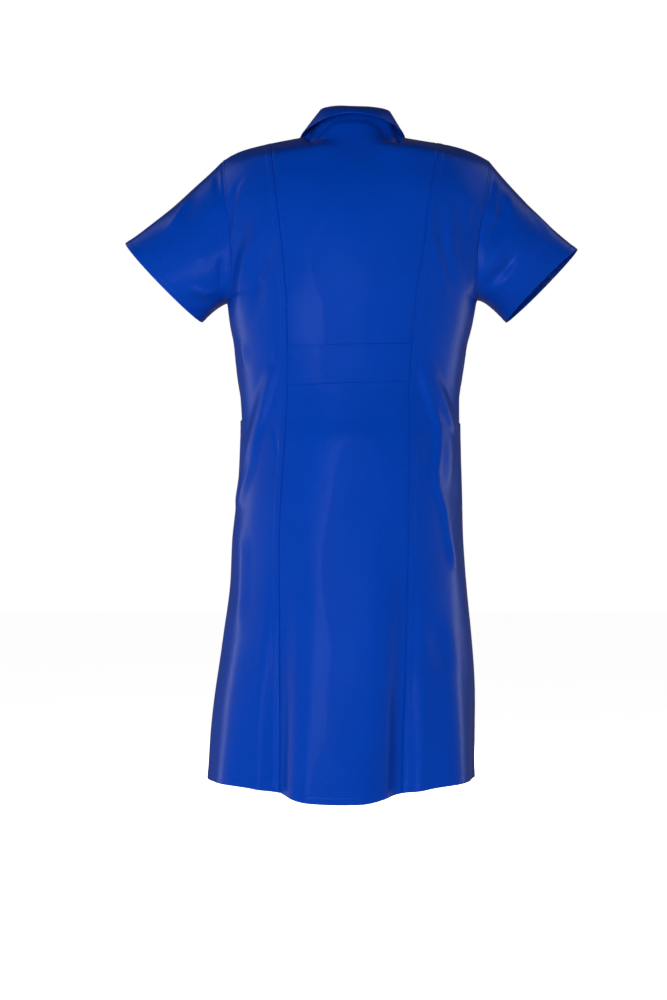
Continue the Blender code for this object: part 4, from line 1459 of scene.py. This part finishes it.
@dataclass
class TurnedCollar:
    """The collar: a stand, a rounded fold and a leaf in one double piece of cloth."""

    form: CoatForm
    turn: float = 6.5           # of the stand and of the leaf, taken up by the fold
    leaf_bow: float = 2.5
    stand_bow: float = 5.0      # how far the back of the stand is drawn in below its fold
    cloth: float = 1.5
    edge_stitch: float = 5.1
    columns: int = 150
    leaf_row: int = 28          # where the stitching of the leaf's ends starts, below the fold
    inside_y: float = -9.0      # a place inside the neck
    inside_z: float = -30.0
    cut: Cut = Cut(0.55, 0.13, 0.0395)

    def half(self, hand: Hand, places: Array) -> Array:
        """Lay out half of the collar on the outer side of its stand, the under side of its leaf.

        Args:
            hand: The wearer's side.
            places: Along the collar stations, from 0 at the middle of the back.

        Returns:
            Rows up the stand, over the fold and down the leaf, by places, by 3.
        """
        other = Hand.RIGHT if hand is Hand.LEFT else Hand.LEFT
        across = np.tile((-1.0, 1.0, 1.0), 2)
        table = np.concatenate((np.array(COLLAR_STATIONS[other])[1:2] * across,
                                COLLAR_STATIONS[hand]))
        side = np.array((hand.value, 1.0, 1.0))
        shift = np.array((self.form.neck_lean, 0.0, 0.0))
        fold = curve_through(table[:, :3] * side + shift, places + 1.0)
        edge = curve_through(table[:, 3:] * side + shift, places + 1.0)
        half_way = (len(table) - 2) / 2.0
        stations = self.form.neck_station * (1.0 - np.abs(places / half_way - 1.0))
        seam = np.where((places <= half_way)[:, None],
                        self.form.top_points(hand, Facing.BACK, stations),
                        self.form.top_points(hand, Facing.FRONT, stations))

        def toward(start: Array, end: Array) -> Array:
            """Go from one line towards another by the turn."""
            way = end - start
            return start + way / np.linalg.norm(way, axis=1, keepdims=True) * self.turn

        turn_in, turn_out = toward(fold, seam), toward(fold, edge)
        inward = np.array((self.form.neck_lean, 0.0, 0.0)) - seam * np.array((1.0, 1.0, 0.0))
        inward *= self.stand_bow / np.linalg.norm(inward, axis=1, keepdims=True)
        inward *= smooth((1.2 * half_way - places) / half_way)[:, None]
        rows = [seam + (turn_in - seam) * part + inward * math.sin(math.pi * part) ** 0.7
                for part in np.linspace(0.0, 1.0, 12)]
        for part in np.linspace(0.0, 1.0, 14)[1:]:
            rising = turn_in + (fold - turn_in) * part
            falling = fold + (turn_out - fold) * part
            rows.append(rising + (falling - rising) * part)
        for part in np.linspace(0.0, 1.0, 24)[1:]:
            bow = np.array((0.0, 0.0, self.leaf_bow * 4.0 * part * (1.0 - part)))
            rows.append(turn_out + (edge - turn_out) * part + bow)
        return np.stack(rows)

    def build(self, cloth: bpy.types.Material) -> list[StitchLine]:
        """Make the collar.

        Args:
            cloth: The cloth.

        Returns:
            Its stitch lines.
        """
        last = float(len(COLLAR_STATIONS[Hand.LEFT]) - 1)
        places = np.linspace(0.0, last, self.columns // 2)
        under = np.concatenate((self.half(Hand.RIGHT, places)[:, ::-1],
                                self.half(Hand.LEFT, places)[:, 1:]), axis=1)
        under = respaced(under.swapaxes(0, 1), BESIDE_STAND_SEAM, BESIDE_LEAF_EDGE, 50)
        under = respaced(under.swapaxes(0, 1), BESIDE_COLLAR_END, BESIDE_COLLAR_END, self.columns)
        neck_inside = np.array((self.form.neck_lean, self.inside_y, self.inside_z))
        stand = ClothGrid(under, neck_inside)
        shown = stand.moved(-self.cloth)
        # The leaf's upper side, which goes on from the stand's inner side, is the one that shows.
        far_out = neck_inside + 100.0 * (under[0, 0] - neck_inside)
        face = ClothGrid(shown.points, far_out)
        if float(np.sum(face.normals()[0] * stand.normals()[0])) > 0.0:
            face = ClothGrid(shown.points, 2.0 * shown.points[0].mean(axis=0) - far_out)
        leaf = {"rise": 0.2, "stitches": (self.edge_stitch,)}
        reliefs = (
            Relief(Edge.TOP, pucker=0.06, phase=1.1, **leaf),
            Relief(Edge.FIRST, start=self.leaf_row, **leaf),
            Relief(Edge.LAST, start=self.leaf_row, **leaf),
        )
        outer = face.raised(reliefs)
        return sew_in("collar", outer, self.cloth, cloth, reliefs, [])


@dataclass
class HalfBelt:
    """The strip that is sewn on the middle of the back, from one princess seam to the other."""

    form: CoatForm
    left_foot: float = -380.0
    left_top: float = -323.5
    right_foot: float = -373.5
    right_top: float = -320.0
    lowest_row: float = 8.6     # of the back's table, between which the belt lies
    highest_row: float = 10.4
    stand: float = 1.3          # above the seams' level, so just clear of the back's cloth
    cloth: float = 1.4
    stitch: float = 2.0
    cut: Cut = Cut(0.18, 0.057, 0.0101)

    def build(self, cloth: bpy.types.Material) -> list[StitchLine]:
        """Make the half belt.

        Args:
            cloth: The cloth.

        Returns:
            Its stitch lines.
        """
        heights = np.linspace(self.lowest_row, self.highest_row, FINE_STEPS)
        across, dense = self.form.back(1.0, heights)
        columns = self.form.creased(dense).swapaxes(0, 1)
        share = (across + 1.0) / 2.0
        foot = self.right_foot + (self.left_foot - self.right_foot) * share
        top = self.right_top + (self.left_top - self.right_top) * share
        levels = foot[:, None] + spaced(BESIDE_BELT_EDGE, BESIDE_BELT_EDGE, top - foot, 12)
        laid = read_at(columns, columns[:, :, 2], levels).swapaxes(0, 1)
        laid = respaced(laid, BESIDE_BELT_END, BESIDE_BELT_END, 48)
        face = ClothGrid(laid, np.array((0.0, 0.0, laid[:, :, 2].mean())))
        reliefs = (
            Relief(Edge.FOOT, stitches=(self.stitch,), pucker=0.07, phase=0.4),
            Relief(Edge.TOP, stitches=(self.stitch,), pucker=0.07, phase=1.9),
            Relief(Edge.FIRST, sink=0.5, sink_width=3.0),
            Relief(Edge.LAST, sink=0.5, sink_width=3.0),
        )
        outer = face.moved(self.stand + self.cloth).raised(reliefs)
        return sew_in("half_belt", outer, self.cloth, cloth, reliefs, ["back_centre"])


@dataclass
class HipPockets:
    """Patch pockets on the fronts, caught in the side seams."""

    form: CoatForm
    front_station: float = 0.8667
    foot_row: float = 5.0
    left_mouth_row: float = 8.0
    right_mouth_row: float = 7.88
    height_steps: int = 120
    stand: float = 0.35
    mouth_stand: float = 2.0
    seam_gap: float = 0.1       # left between the pocket and the front in the side seam
    seam_width: float = 5.0
    cloth: float = 1.1
    mouth_hem: float = 20.0
    edge_stitch: float = 1.8
    cut: Cut = Cut(0.156, 0.18, 0.0272)

    def build(self, cloth: bpy.types.Material) -> list[StitchLine]:
        """Make both pockets.

        Args:
            cloth: The cloth.

        Returns:
            Their stitch lines.
        """
        found = []
        for hand in Hand:
            mouth = self.left_mouth_row if hand is Hand.LEFT else self.right_mouth_row
            heights = np.linspace(self.foot_row, mouth, self.height_steps)
            stations = np.linspace(self.front_station, 2.0, FINE_COLUMNS)
            dense = self.form.creased(self.form.columns(hand, Facing.FRONT, stations, heights))
            columns = respaced(dense, BESIDE_POCKET_EDGE, BESIDE_POCKET_EDGE, 24).swapaxes(0, 1)
            laid = respaced(columns, BESIDE_POCKET_EDGE, BESIDE_POCKET_MOUTH, 34).swapaxes(0, 1)
            face = ClothGrid(laid, np.array((0.0, 0.0, laid[:, :, 2].mean())))
            _, along = face.distances(Edge.FIRST)
            part = along / along[-1:]
            stand = self.stand + (self.mouth_stand - self.stand) * part ** 3
            phase = 4.4 + 1.9 * hand.value
            reliefs = (
                Relief(Edge.FIRST, stitches=(self.edge_stitch,), pucker=0.08, phase=phase),
                Relief(Edge.FOOT, stitches=(self.edge_stitch,), pucker=0.08, phase=phase + 1.0),
                Relief(Edge.TOP, rise=0.2, stitches=(self.mouth_hem,), pucker=0.1,
                       phase=phase + 2.0),
                Relief(Edge.LAST, sink=0.4),
            )
            outer = face.moved(stand + self.cloth).raised(reliefs)
            from_side, _ = outer.distances(Edge.LAST)
            in_seam = 1.0 - smooth(from_side / self.seam_width)
            thickness = self.cloth + (stand - self.seam_gap) * in_seam
            found += sew_in(hand.of("pocket"), outer, thickness, cloth, reliefs,
                            [hand.of("front")])
        return found


@dataclass(frozen=True)
class StitchKind:
    """How one kind of stitch is laid along its line."""

    pitch: float
    length: float
    thickness: float
    turn: float = 0.0       # degrees between the stitch and its line
    sway: float = 3.0       # degrees by which stitches stray from that


@dataclass
class Topstitching:
    """Every line of stitches, made by one Geometry Nodes tree."""

    thread: bpy.types.Material
    run: StitchKind = StitchKind(3.2, 2.7, 0.42)
    buttonhole: StitchKind = StitchKind(0.55, 2.2, 0.5, turn=90.0)
    seed: int = 7

    def tree(self) -> bpy.types.NodeTree:
        """Build the tree that lays stitches along lines.

        Returns:
            The node tree, with its sizes as named inputs.
        """
        tree = bpy.data.node_groups.new("stitches_along_lines", "GeometryNodeTree")
        face = tree.interface
        face.new_socket("Lines", in_out="INPUT", socket_type="NodeSocketGeometry")
        for name in ("Pitch", "Length", "Thickness", "Turn", "Sway"):
            face.new_socket(name, in_out="INPUT", socket_type="NodeSocketFloat")
        face.new_socket("Seed", in_out="INPUT", socket_type="NodeSocketInt")
        face.new_socket("Stitches", in_out="OUTPUT", socket_type="NodeSocketGeometry")

        work = NodeWork(tree)
        inputs, outputs = work.add("NodeGroupInput"), work.add("NodeGroupOutput")
        curve = work.add("GeometryNodeMeshToCurve")
        resample = work.add("GeometryNodeResampleCurve", mode="LENGTH")
        tangent = work.add("GeometryNodeInputTangent")
        normal = work.add("GeometryNodeInputNamedAttribute", {"Name": "cloth_normal"},
                          data_type="FLOAT_VECTOR")
        along = work.add("FunctionNodeAlignRotationToVector", axis="X")
        upright = work.add("FunctionNodeAlignRotationToVector", axis="Z", pivot_axis="X")
        stray = work.add("FunctionNodeRandomValue", data_type="FLOAT")
        lowest = work.add("ShaderNodeMath", {1: -1.0}, operation="MULTIPLY")
        angle = work.add("ShaderNodeMath", operation="ADD")
        turned = work.add("FunctionNodeAxisAngleToRotation", {"Axis": (0.0, 0.0, 1.0)})
        rotate = work.add("FunctionNodeRotateRotation", rotation_space="LOCAL")
        size = work.add("ShaderNodeCombineXYZ")
        stitch = work.add("GeometryNodeMeshUVSphere", {"Segments": 6, "Rings": 4, "Radius": 0.5})
        place = work.add("GeometryNodeInstanceOnPoints")
        shade = work.add("GeometryNodeSetShadeSmooth")
        real = work.add("GeometryNodeRealizeInstances")
        dress = work.add("GeometryNodeSetMaterial", {"Material": self.thread})
        random_low, random_high, random_value = 2, 3, 1     # sockets for plain numbers
        work.join(
            (inputs, "Lines", curve, "Mesh"),
            (curve, "Curve", resample, "Curve"),
            (inputs, "Pitch", resample, "Length"),
            (tangent, "Tangent", along, "Vector"),
            (along, "Rotation", upright, "Rotation"),
            (normal, "Attribute", upright, "Vector"),
            (inputs, "Sway", lowest, 0),
            (lowest, "Value", stray, random_low),
            (inputs, "Sway", stray, random_high),
            (inputs, "Seed", stray, "Seed"),
            (inputs, "Turn", angle, 0),
            (stray, random_value, angle, 1),
            (angle, "Value", turned, "Angle"),
            (upright, "Rotation", rotate, "Rotation"),
            (turned, "Rotation", rotate, "Rotate By"),
            (inputs, "Length", size, "X"),
            (inputs, "Thickness", size, "Y"),
            (inputs, "Thickness", size, "Z"),
            (stitch, "Mesh", place, "Instance"),
            (resample, "Curve", place, "Points"),
            (rotate, "Rotation", place, "Rotation"),
            (size, "Vector", place, "Scale"),
            (place, "Instances", shade, "Geometry"),
            (shade, "Geometry", real, "Geometry"),
            (real, "Geometry", dress, "Geometry"),
            (dress, "Geometry", outputs, "Stitches"),
        )
        return tree

    def sew(self, name: str, lines: list[StitchLine], kind: StitchKind,
            tree: bpy.types.NodeTree) -> None:
        """Lay one kind of stitch along its lines and attach the piece to the root.

        Args:
            name: The piece's name.
            lines: The lines to sew.
            kind: The kind of stitch.
            tree: The tree that lays them.
        """
        points = np.concatenate([line.points for line in lines]) * MM
        normals = np.concatenate([line.normals for line in lines])
        edges, start = [], 0
        for line in lines:
            edges += [(start + step, start + step + 1) for step in range(len(line.points) - 1)]
            start += len(line.points)
        paths = bpy.data.meshes.new(f"{name}_paths")
        paths.from_pydata(points.tolist(), edges, [])
        attribute = paths.attributes.new("cloth_normal", "FLOAT_VECTOR", "POINT")
        attribute.data.foreach_set("vector", normals.astype(np.float32).ravel())
        piece = put_in(name, paths)

        modifier = piece.modifiers.new("stitches", "NODES")
        modifier.node_group = tree
        values = {
            "Pitch": kind.pitch * MM,
            "Length": kind.length * MM,
            "Thickness": kind.thickness * MM,
            "Turn": math.radians(kind.turn),
            "Sway": math.radians(kind.sway),
            "Seed": self.seed,
        }
        for item in tree.interface.items_tree:
            if item.in_out == "INPUT" and item.name in values:
                modifier[item.identifier] = values[item.name]
        bpy.context.view_layer.update()
        graph = bpy.context.evaluated_depsgraph_get()
        sewn = bpy.data.meshes.new_from_object(piece.evaluated_get(graph))
        piece.modifiers.remove(modifier)
        piece.data = sewn
        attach(piece, "root")
        LOG.info("%s: %d faces", name, len(sewn.polygons))


def circle(radius: float, level: float, sides: int) -> list[tuple[float, float, float]]:
    """Set out points round a level circle."""
    angles = [2.0 * math.pi * side / sides for side in range(sides)]
    return [(radius * math.cos(angle), radius * math.sin(angle), level) for angle in angles]


def skin_rings(mesh: bmesh.types.BMesh, rings: list) -> None:
    """Skin rings of points, with a face across each end.

    Args:
        mesh: What the closed skin is added to.
        rings: Rings with the same number of points, in order.
    """
    rings = [[mesh.verts.new(point) for point in ring] for ring in rings]
    mesh.faces.new(rings[0][::-1])
    mesh.faces.new(rings[-1])
    for lower, upper in zip(rings, rings[1:]):
        for side in range(len(lower)):
            after = (side + 1) % len(lower)
            mesh.faces.new((lower[side], lower[after], upper[after], upper[side]))


# Half a section of a button, from its back over its rim into its well: shares of its radius and
# of its thickness
BUTTON_SECTION = ((0.8, 0.0), (0.93, 0.1), (1.0, 0.42), (0.985, 0.7), (0.93, 0.93), (0.86, 1.0),
                  (0.79, 0.96), (0.72, 0.82), (0.62, 0.72), (0.4, 0.66), (0.3, 0.64))


@dataclass
class ButtonedFront:
    """The buttons down the right front, and their buttonholes."""

    face: ClothGrid
    radius: float = 9.0
    thickness: float = 3.2
    sides: int = 40
    sharp_angle: float = 40.0
    hole_radius: float = 1.0
    hole_sides: int = 16
    hole_spacing: float = 3.6
    thread_floor: float = 0.66  # just over the well's floor, as a share of the thickness
    thread_radius: float = 0.35
    thread_sides: int = 6
    thread_rise: float = 0.75   # of the bars over the well
    shank_radius: float = 0.9
    shank_threads: int = 5
    buttonhole_length: float = 22.0
    buttonhole_half_width: float = 1.5
    buttonhole_shift: float = 4.0   # of its middle, away from the front edge
    buttonhole_steps: int = 48
    count: int = 7

    def __post_init__(self) -> None:
        """List the points of the front and its normals."""
        self.points = self.face.points.reshape(-1, 3)
        self.normals = self.face.normals().reshape(-1, 3)

    def nearest(self, place: Array) -> int:
        """Find the front's nearest point."""
        return int(np.argmin(np.linalg.norm(self.points - place, axis=1)))

    def lathe(self) -> bmesh.types.BMesh:
        """Turn the button's body about its own axis, standing on its back.

        Returns:
            A closed mesh in millimetres.
        """
        mesh = bmesh.new()
        skin_rings(mesh, [circle(self.radius * width, self.thickness * height, self.sides)
                          for width, height in BUTTON_SECTION])
        return mesh

    def holes(self) -> list[tuple[float, float]]:
        """Place the four holes."""
        half = self.hole_spacing / 2.0
        return [(half, half), (-half, half), (-half, -half), (half, -half)]

    def body(self) -> bpy.types.Mesh:
        """Drill four holes through the turned body.

        Returns:
            The drilled body in millimetres.
        """
        turned, drills = bpy.data.meshes.new("button_body"), bpy.data.meshes.new("button_drills")
        lathe = self.lathe()
        lathe.to_mesh(turned)
        lathe.free()
        cutters = bmesh.new()
        for x, y in self.holes():
            bmesh.ops.create_cone(cutters, cap_ends=True, segments=self.hole_sides,
                                  radius1=self.hole_radius, radius2=self.hole_radius,
                                  depth=4.0 * self.thickness,
                                  matrix=Matrix.Translation((x, y, 0.0)))
        cutters.to_mesh(drills)
        cutters.free()
        blank, drill = put_in("button_blank", turned), put_in("button_drill", drills)
        cut = blank.modifiers.new("holes", "BOOLEAN")
        cut.object = drill
        cut.operation = "DIFFERENCE"
        bpy.context.view_layer.update()
        graph = bpy.context.evaluated_depsgraph_get()
        body = bpy.data.meshes.new_from_object(blank.evaluated_get(graph))
        for item in (blank, drill):
            bpy.data.objects.remove(item, do_unlink=True)
        return body

    def strand(self, mesh: bmesh.types.BMesh, path: list[Vector]) -> None:
        """Run a strand of thread along a path.

        Args:
            mesh: What it is added to.
            path: The strand's points.
        """
        rings = []
        for index, point in enumerate(path):
            run = path[min(index + 1, len(path) - 1)] - path[max(index - 1, 0)]
            turned = run.to_track_quat("Z", "Y")
            rings.append([point + turned @ (Vector(spot) * self.thread_radius)
                          for spot in circle(1.0, 0.0, self.thread_sides)])
        skin_rings(mesh, rings)

    def thread_mesh(self) -> bmesh.types.BMesh:
        """Make the threads of one button: two bars over its holes, and the shank below.

        Returns:
            A mesh in millimetres.
        """
        mesh = bmesh.new()
        floor = self.thickness * self.thread_floor
        half = self.hole_spacing / 2.0
        for y in (-half, half):
            for sideways in (-0.5, 0.0, 0.5):
                path = []
                for part in np.linspace(-1.0, 1.0, 9):
                    into_hole = 1.3 * max(0.0, abs(part) - 0.85) / 0.15
                    rise = self.thread_rise * (1.0 - abs(part) ** 4) - into_hole
                    path.append(Vector((half * part * 1.05, y + sideways, floor + rise)))
                self.strand(mesh, path)
        for foot in circle(1.0, 0.0, self.shank_threads):
            self.strand(mesh, [Vector(foot) * self.shank_radius + Vector((0.0, 0.0, low))
                               for low in (-1.2, -0.4, 0.5)])
        bmesh.ops.recalc_face_normals(mesh, faces=mesh.faces)
        return mesh

    def seats(self) -> list[Matrix]:
        """Work out where each button's solid stands and which way its cloth faces.

        Returns:
            One matrix for each button, in millimetres.
        """
        found = []
        for number in range(self.count):
            low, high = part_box(f"button_{number + 1}")
            middle = (low + high) / 2.0 / MM
            nearest = self.nearest(np.array(middle))
            outward = Vector(self.normals[nearest]).normalized()
            level = Vector((0.0, 0.0, 1.0)).cross(outward).normalized()
            upright = outward.cross(level)
            turned = Matrix((level, upright, outward)).transposed().to_4x4()
            seat = middle - outward * self.thickness / 2.0
            found.append(Matrix.Translation(seat) @ turned)
        return found

    def seated(self, name: str, mesh: bpy.types.Mesh, seat: Matrix,
               finish: bpy.types.Material) -> bpy.types.Object:
        """Seat a mesh of one button in the frame.

        Args:
            name: The piece's name.
            mesh: The piece in millimetres, standing on the origin.
            seat: Where it stands.
            finish: Its material.

        Returns:
            The piece.
        """
        mesh.transform(Matrix.Diagonal((MM, MM, MM, 1.0)) @ seat)
        mesh.shade_smooth()
        mesh.materials.clear()
        mesh.materials.append(finish)
        piece = put_in(name, mesh)
        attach(piece, "root")
        return piece

    def build(self, plastic: bpy.types.Material, thread: bpy.types.Material) -> None:
        """Make the buttons with their threads.

        Args:
            plastic: The buttons' finish.
            thread: The thread's finish.
        """
        body = self.body()
        for number, seat in enumerate(self.seats()):
            name = f"button_{number + 1}"
            piece = self.seated(f"plastic_{name}", body.copy(), seat, plastic)
            piece.data.set_sharp_from_angle(angle=math.radians(self.sharp_angle))
            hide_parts(name)

            strands = self.thread_mesh()
            sewn = bpy.data.meshes.new(f"thread_{name}")
            strands.to_mesh(sewn)
            strands.free()
            self.seated(f"thread_{name}", sewn, seat, thread)
            LOG.info("%s: %d faces", piece.name, len(piece.data.polygons))

    def buttonholes(self) -> list[StitchLine]:
        """Run the overcast edge of each level buttonhole, round its slot.

        Returns:
            One closed line for each buttonhole.
        """
        end = self.buttonhole_half_width
        straight = self.buttonhole_length / 2.0 - end
        found = []
        for seat in self.seats():
            line, turned = [], []
            for step in range(self.buttonhole_steps + 1):
                angle = 2.0 * math.pi * step / self.buttonhole_steps
                level, upright = math.cos(angle), math.sin(angle)
                x = math.copysign(straight, level) * min(1.0, 3.0 * abs(level))
                local = Vector((x + end * level - self.buttonhole_shift, end * upright, 0.0))
                place = np.array(seat @ local)
                nearest = self.nearest(place)
                normal = self.normals[nearest]
                drop = float(np.dot(place - self.points[nearest], normal))
                line.append(place - normal * drop)
                turned.append(normal)
            found.append(StitchLine(np.array(line), np.array(turned)))
        return found


@dataclass(frozen=True)
class Lamp:
    """A soft lamp with a face of its own size, in metres and watts."""

    name: str
    place: tuple[float, float, float]
    aim: tuple[float, float, float]
    width: float
    height: float
    power: float
    glossy: bool = False    # whether the cloth's sheen shows it

    def hang(self) -> None:
        """Hang the lamp in the scene."""
        data = bpy.data.lights.new(self.name, "AREA")
        data.shape = "RECTANGLE"
        data.size = self.width
        data.size_y = self.height
        data.energy = self.power
        lamp = put_in(self.name, data)
        lamp.location = self.place
        away = Vector(self.aim) - Vector(self.place)
        lamp.rotation_euler = away.to_track_quat("-Z", "Y").to_euler()
        lamp.visible_glossy = self.glossy


@dataclass
class Studio:
    """White paper, soft light and the camera."""

    camera_x: float = 24.75
    camera_y: float = 2200.0
    camera_z: float = -544.0
    focal_pixels: float = 1467.0    # in a picture of 667 by 1000 pixels
    picture_height: float = 1000.0
    sensor: float = 36.0
    floor_z: float = -1400.0
    floor_half_width: float = 9000.0
    seen_dome: float = 1.0
    behind_coat: float = 0.1
    behind_camera: float = 0.08
    zenith: float = 0.12        # share of the dome's light that comes from straight above
    front_power: float = 83.0
    edge_power: float = 8.0
    side_power: float = 4.8
    high_power: float = 1.8
    far_power: float = 60.0

    def floor(self, paper: bpy.types.Material) -> None:
        """Lay the floor.

        Args:
            paper: Its finish.
        """
        reach = self.floor_half_width * MM
        mesh = bpy.data.meshes.new("studio_floor")
        corners = [(-reach, -reach), (reach, -reach), (reach, reach), (-reach, reach)]
        mesh.from_pydata([(x, y, self.floor_z * MM) for x, y in corners], [], [(0, 1, 2, 3)])
        mesh.materials.append(paper)
        floor = put_in("studio_floor", mesh)
        floor.visible_diffuse = False       # it is only to be seen, and lights nothing
        floor.visible_glossy = False

    def camera(self) -> None:
        """Stand the camera behind the coat, level, looking towards its front."""
        camera = put_in("camera", bpy.data.cameras.new("camera"))
        camera.data.sensor_width = self.sensor
        camera.data.lens = self.focal_pixels / self.picture_height * self.sensor
        camera.location = (self.camera_x * MM, self.camera_y * MM, self.camera_z * MM)
        camera.rotation_euler = (math.radians(90.0), 0.0, math.radians(180.0))
        bpy.context.scene.camera = camera

    def surround(self) -> None:
        """Surround the coat with white light, dimmer from above and from behind the camera."""
        world = bpy.data.worlds.new("studio_dome")
        bpy.context.scene.world = world
        world.use_nodes = True
        work = NodeWork(world.node_tree)
        light = world.node_tree.nodes["Background"]
        work.fill(light, {"Color": WHITE})
        ways = work.add("ShaderNodeTexCoord")
        split = work.add("ShaderNodeSeparateXYZ")
        both = work.add("ShaderNodeMath", operation="MULTIPLY")
        rays = work.add("ShaderNodeLightPath")
        shown = work.add("ShaderNodeMix", {"B": self.seen_dome})
        work.join(
            (ways, "Generated", split, "Vector"),
            (rays, "Is Camera Ray", shown, "Factor"),
            (both, "Value", shown, "A"),
            (shown, "Result", light, "Strength"),
        )
        # For each axis, where the strength starts and ends to change, and from what to what
        falls = (("Y", -0.5, 0.3, self.behind_coat, self.behind_camera),
                 ("Z", 0.1, 0.7, 1.0, self.zenith))
        for entry, (axis, start, end, low, high) in enumerate(falls):
            fall = work.add(
                "ShaderNodeMapRange",
                {"From Min": start, "From Max": end, "To Min": low, "To Max": high},
                interpolation_type="SMOOTHSTEP",
            )
            work.join((split, axis, fall, "Value"), (fall, "Result", both, entry))

    def lamps(self) -> list[Lamp]:
        """List the lamps: one beside the camera, three on each side and one before the coat."""
        middle = (0.0, 0.0, -0.6)
        found = [Lamp("front_box", (0.5, 2.9, -0.6), middle, 1.0, 1.0, self.front_power)]
        for side in (-1.0, 1.0):
            found += [
                Lamp("edge_box", (2.5 * side, 0.35, -0.7), middle, 0.8, 1.4, self.edge_power),
                Lamp("side_box", (2.0 * side, -0.55, -0.7), middle, 0.4, 1.2, self.side_power,
                     glossy=True),
                Lamp("high_box", (1.7 * side, -0.7, 1.2), (0.3 * side, 0.0, -0.15), 0.9, 0.9,
                     self.high_power, glossy=True),
            ]
        found.append(Lamp("far_box", (-0.6, -2.9, -0.3), (0.0, 0.0, -0.5), 1.6, 1.6,
                          self.far_power))
        return found

    def build(self, paper: bpy.types.Material) -> None:
        """Set up the studio.

        Args:
            paper: The floor's finish.
        """
        bpy.context.scene.view_settings.view_transform = "Standard"
        self.camera()
        self.floor(paper)
        self.surround()
        for lamp in self.lamps():
            lamp.hang()


def main() -> None:
    """Build the coat and the studio."""
    logging.basicConfig(level=logging.INFO, format="%(message)s")
    cloth = TwillCloth("blue_twill", (0.0002, 0.046, 0.41), (0.0002, 0.041, 0.37)).make()
    plastic = ButtonPlastic().make()
    thread = SewingThread().make()

    Studio().build(StudioPaper().make())
    form = CoatForm()
    panels = BodyPanels(form)
    panels.build_back(cloth)
    panels.build_fronts(cloth)
    lines = panels.stitching
    lines += SetInSleeves(form).build(cloth)
    lines += TurnedCollar(form).build(cloth)
    lines += HalfBelt(form).build(cloth)
    lines += HipPockets(form).build(cloth)

    front = ButtonedFront(panels.faces["front_right"])
    front.build(plastic, thread)
    sewing = Topstitching(thread)
    tree = sewing.tree()
    sewing.sew("topstitching", lines, sewing.run, tree)
    sewing.sew("buttonhole_stitching", front.buttonholes(), sewing.buttonhole, tree)


if __name__ == "__main__":
    main()
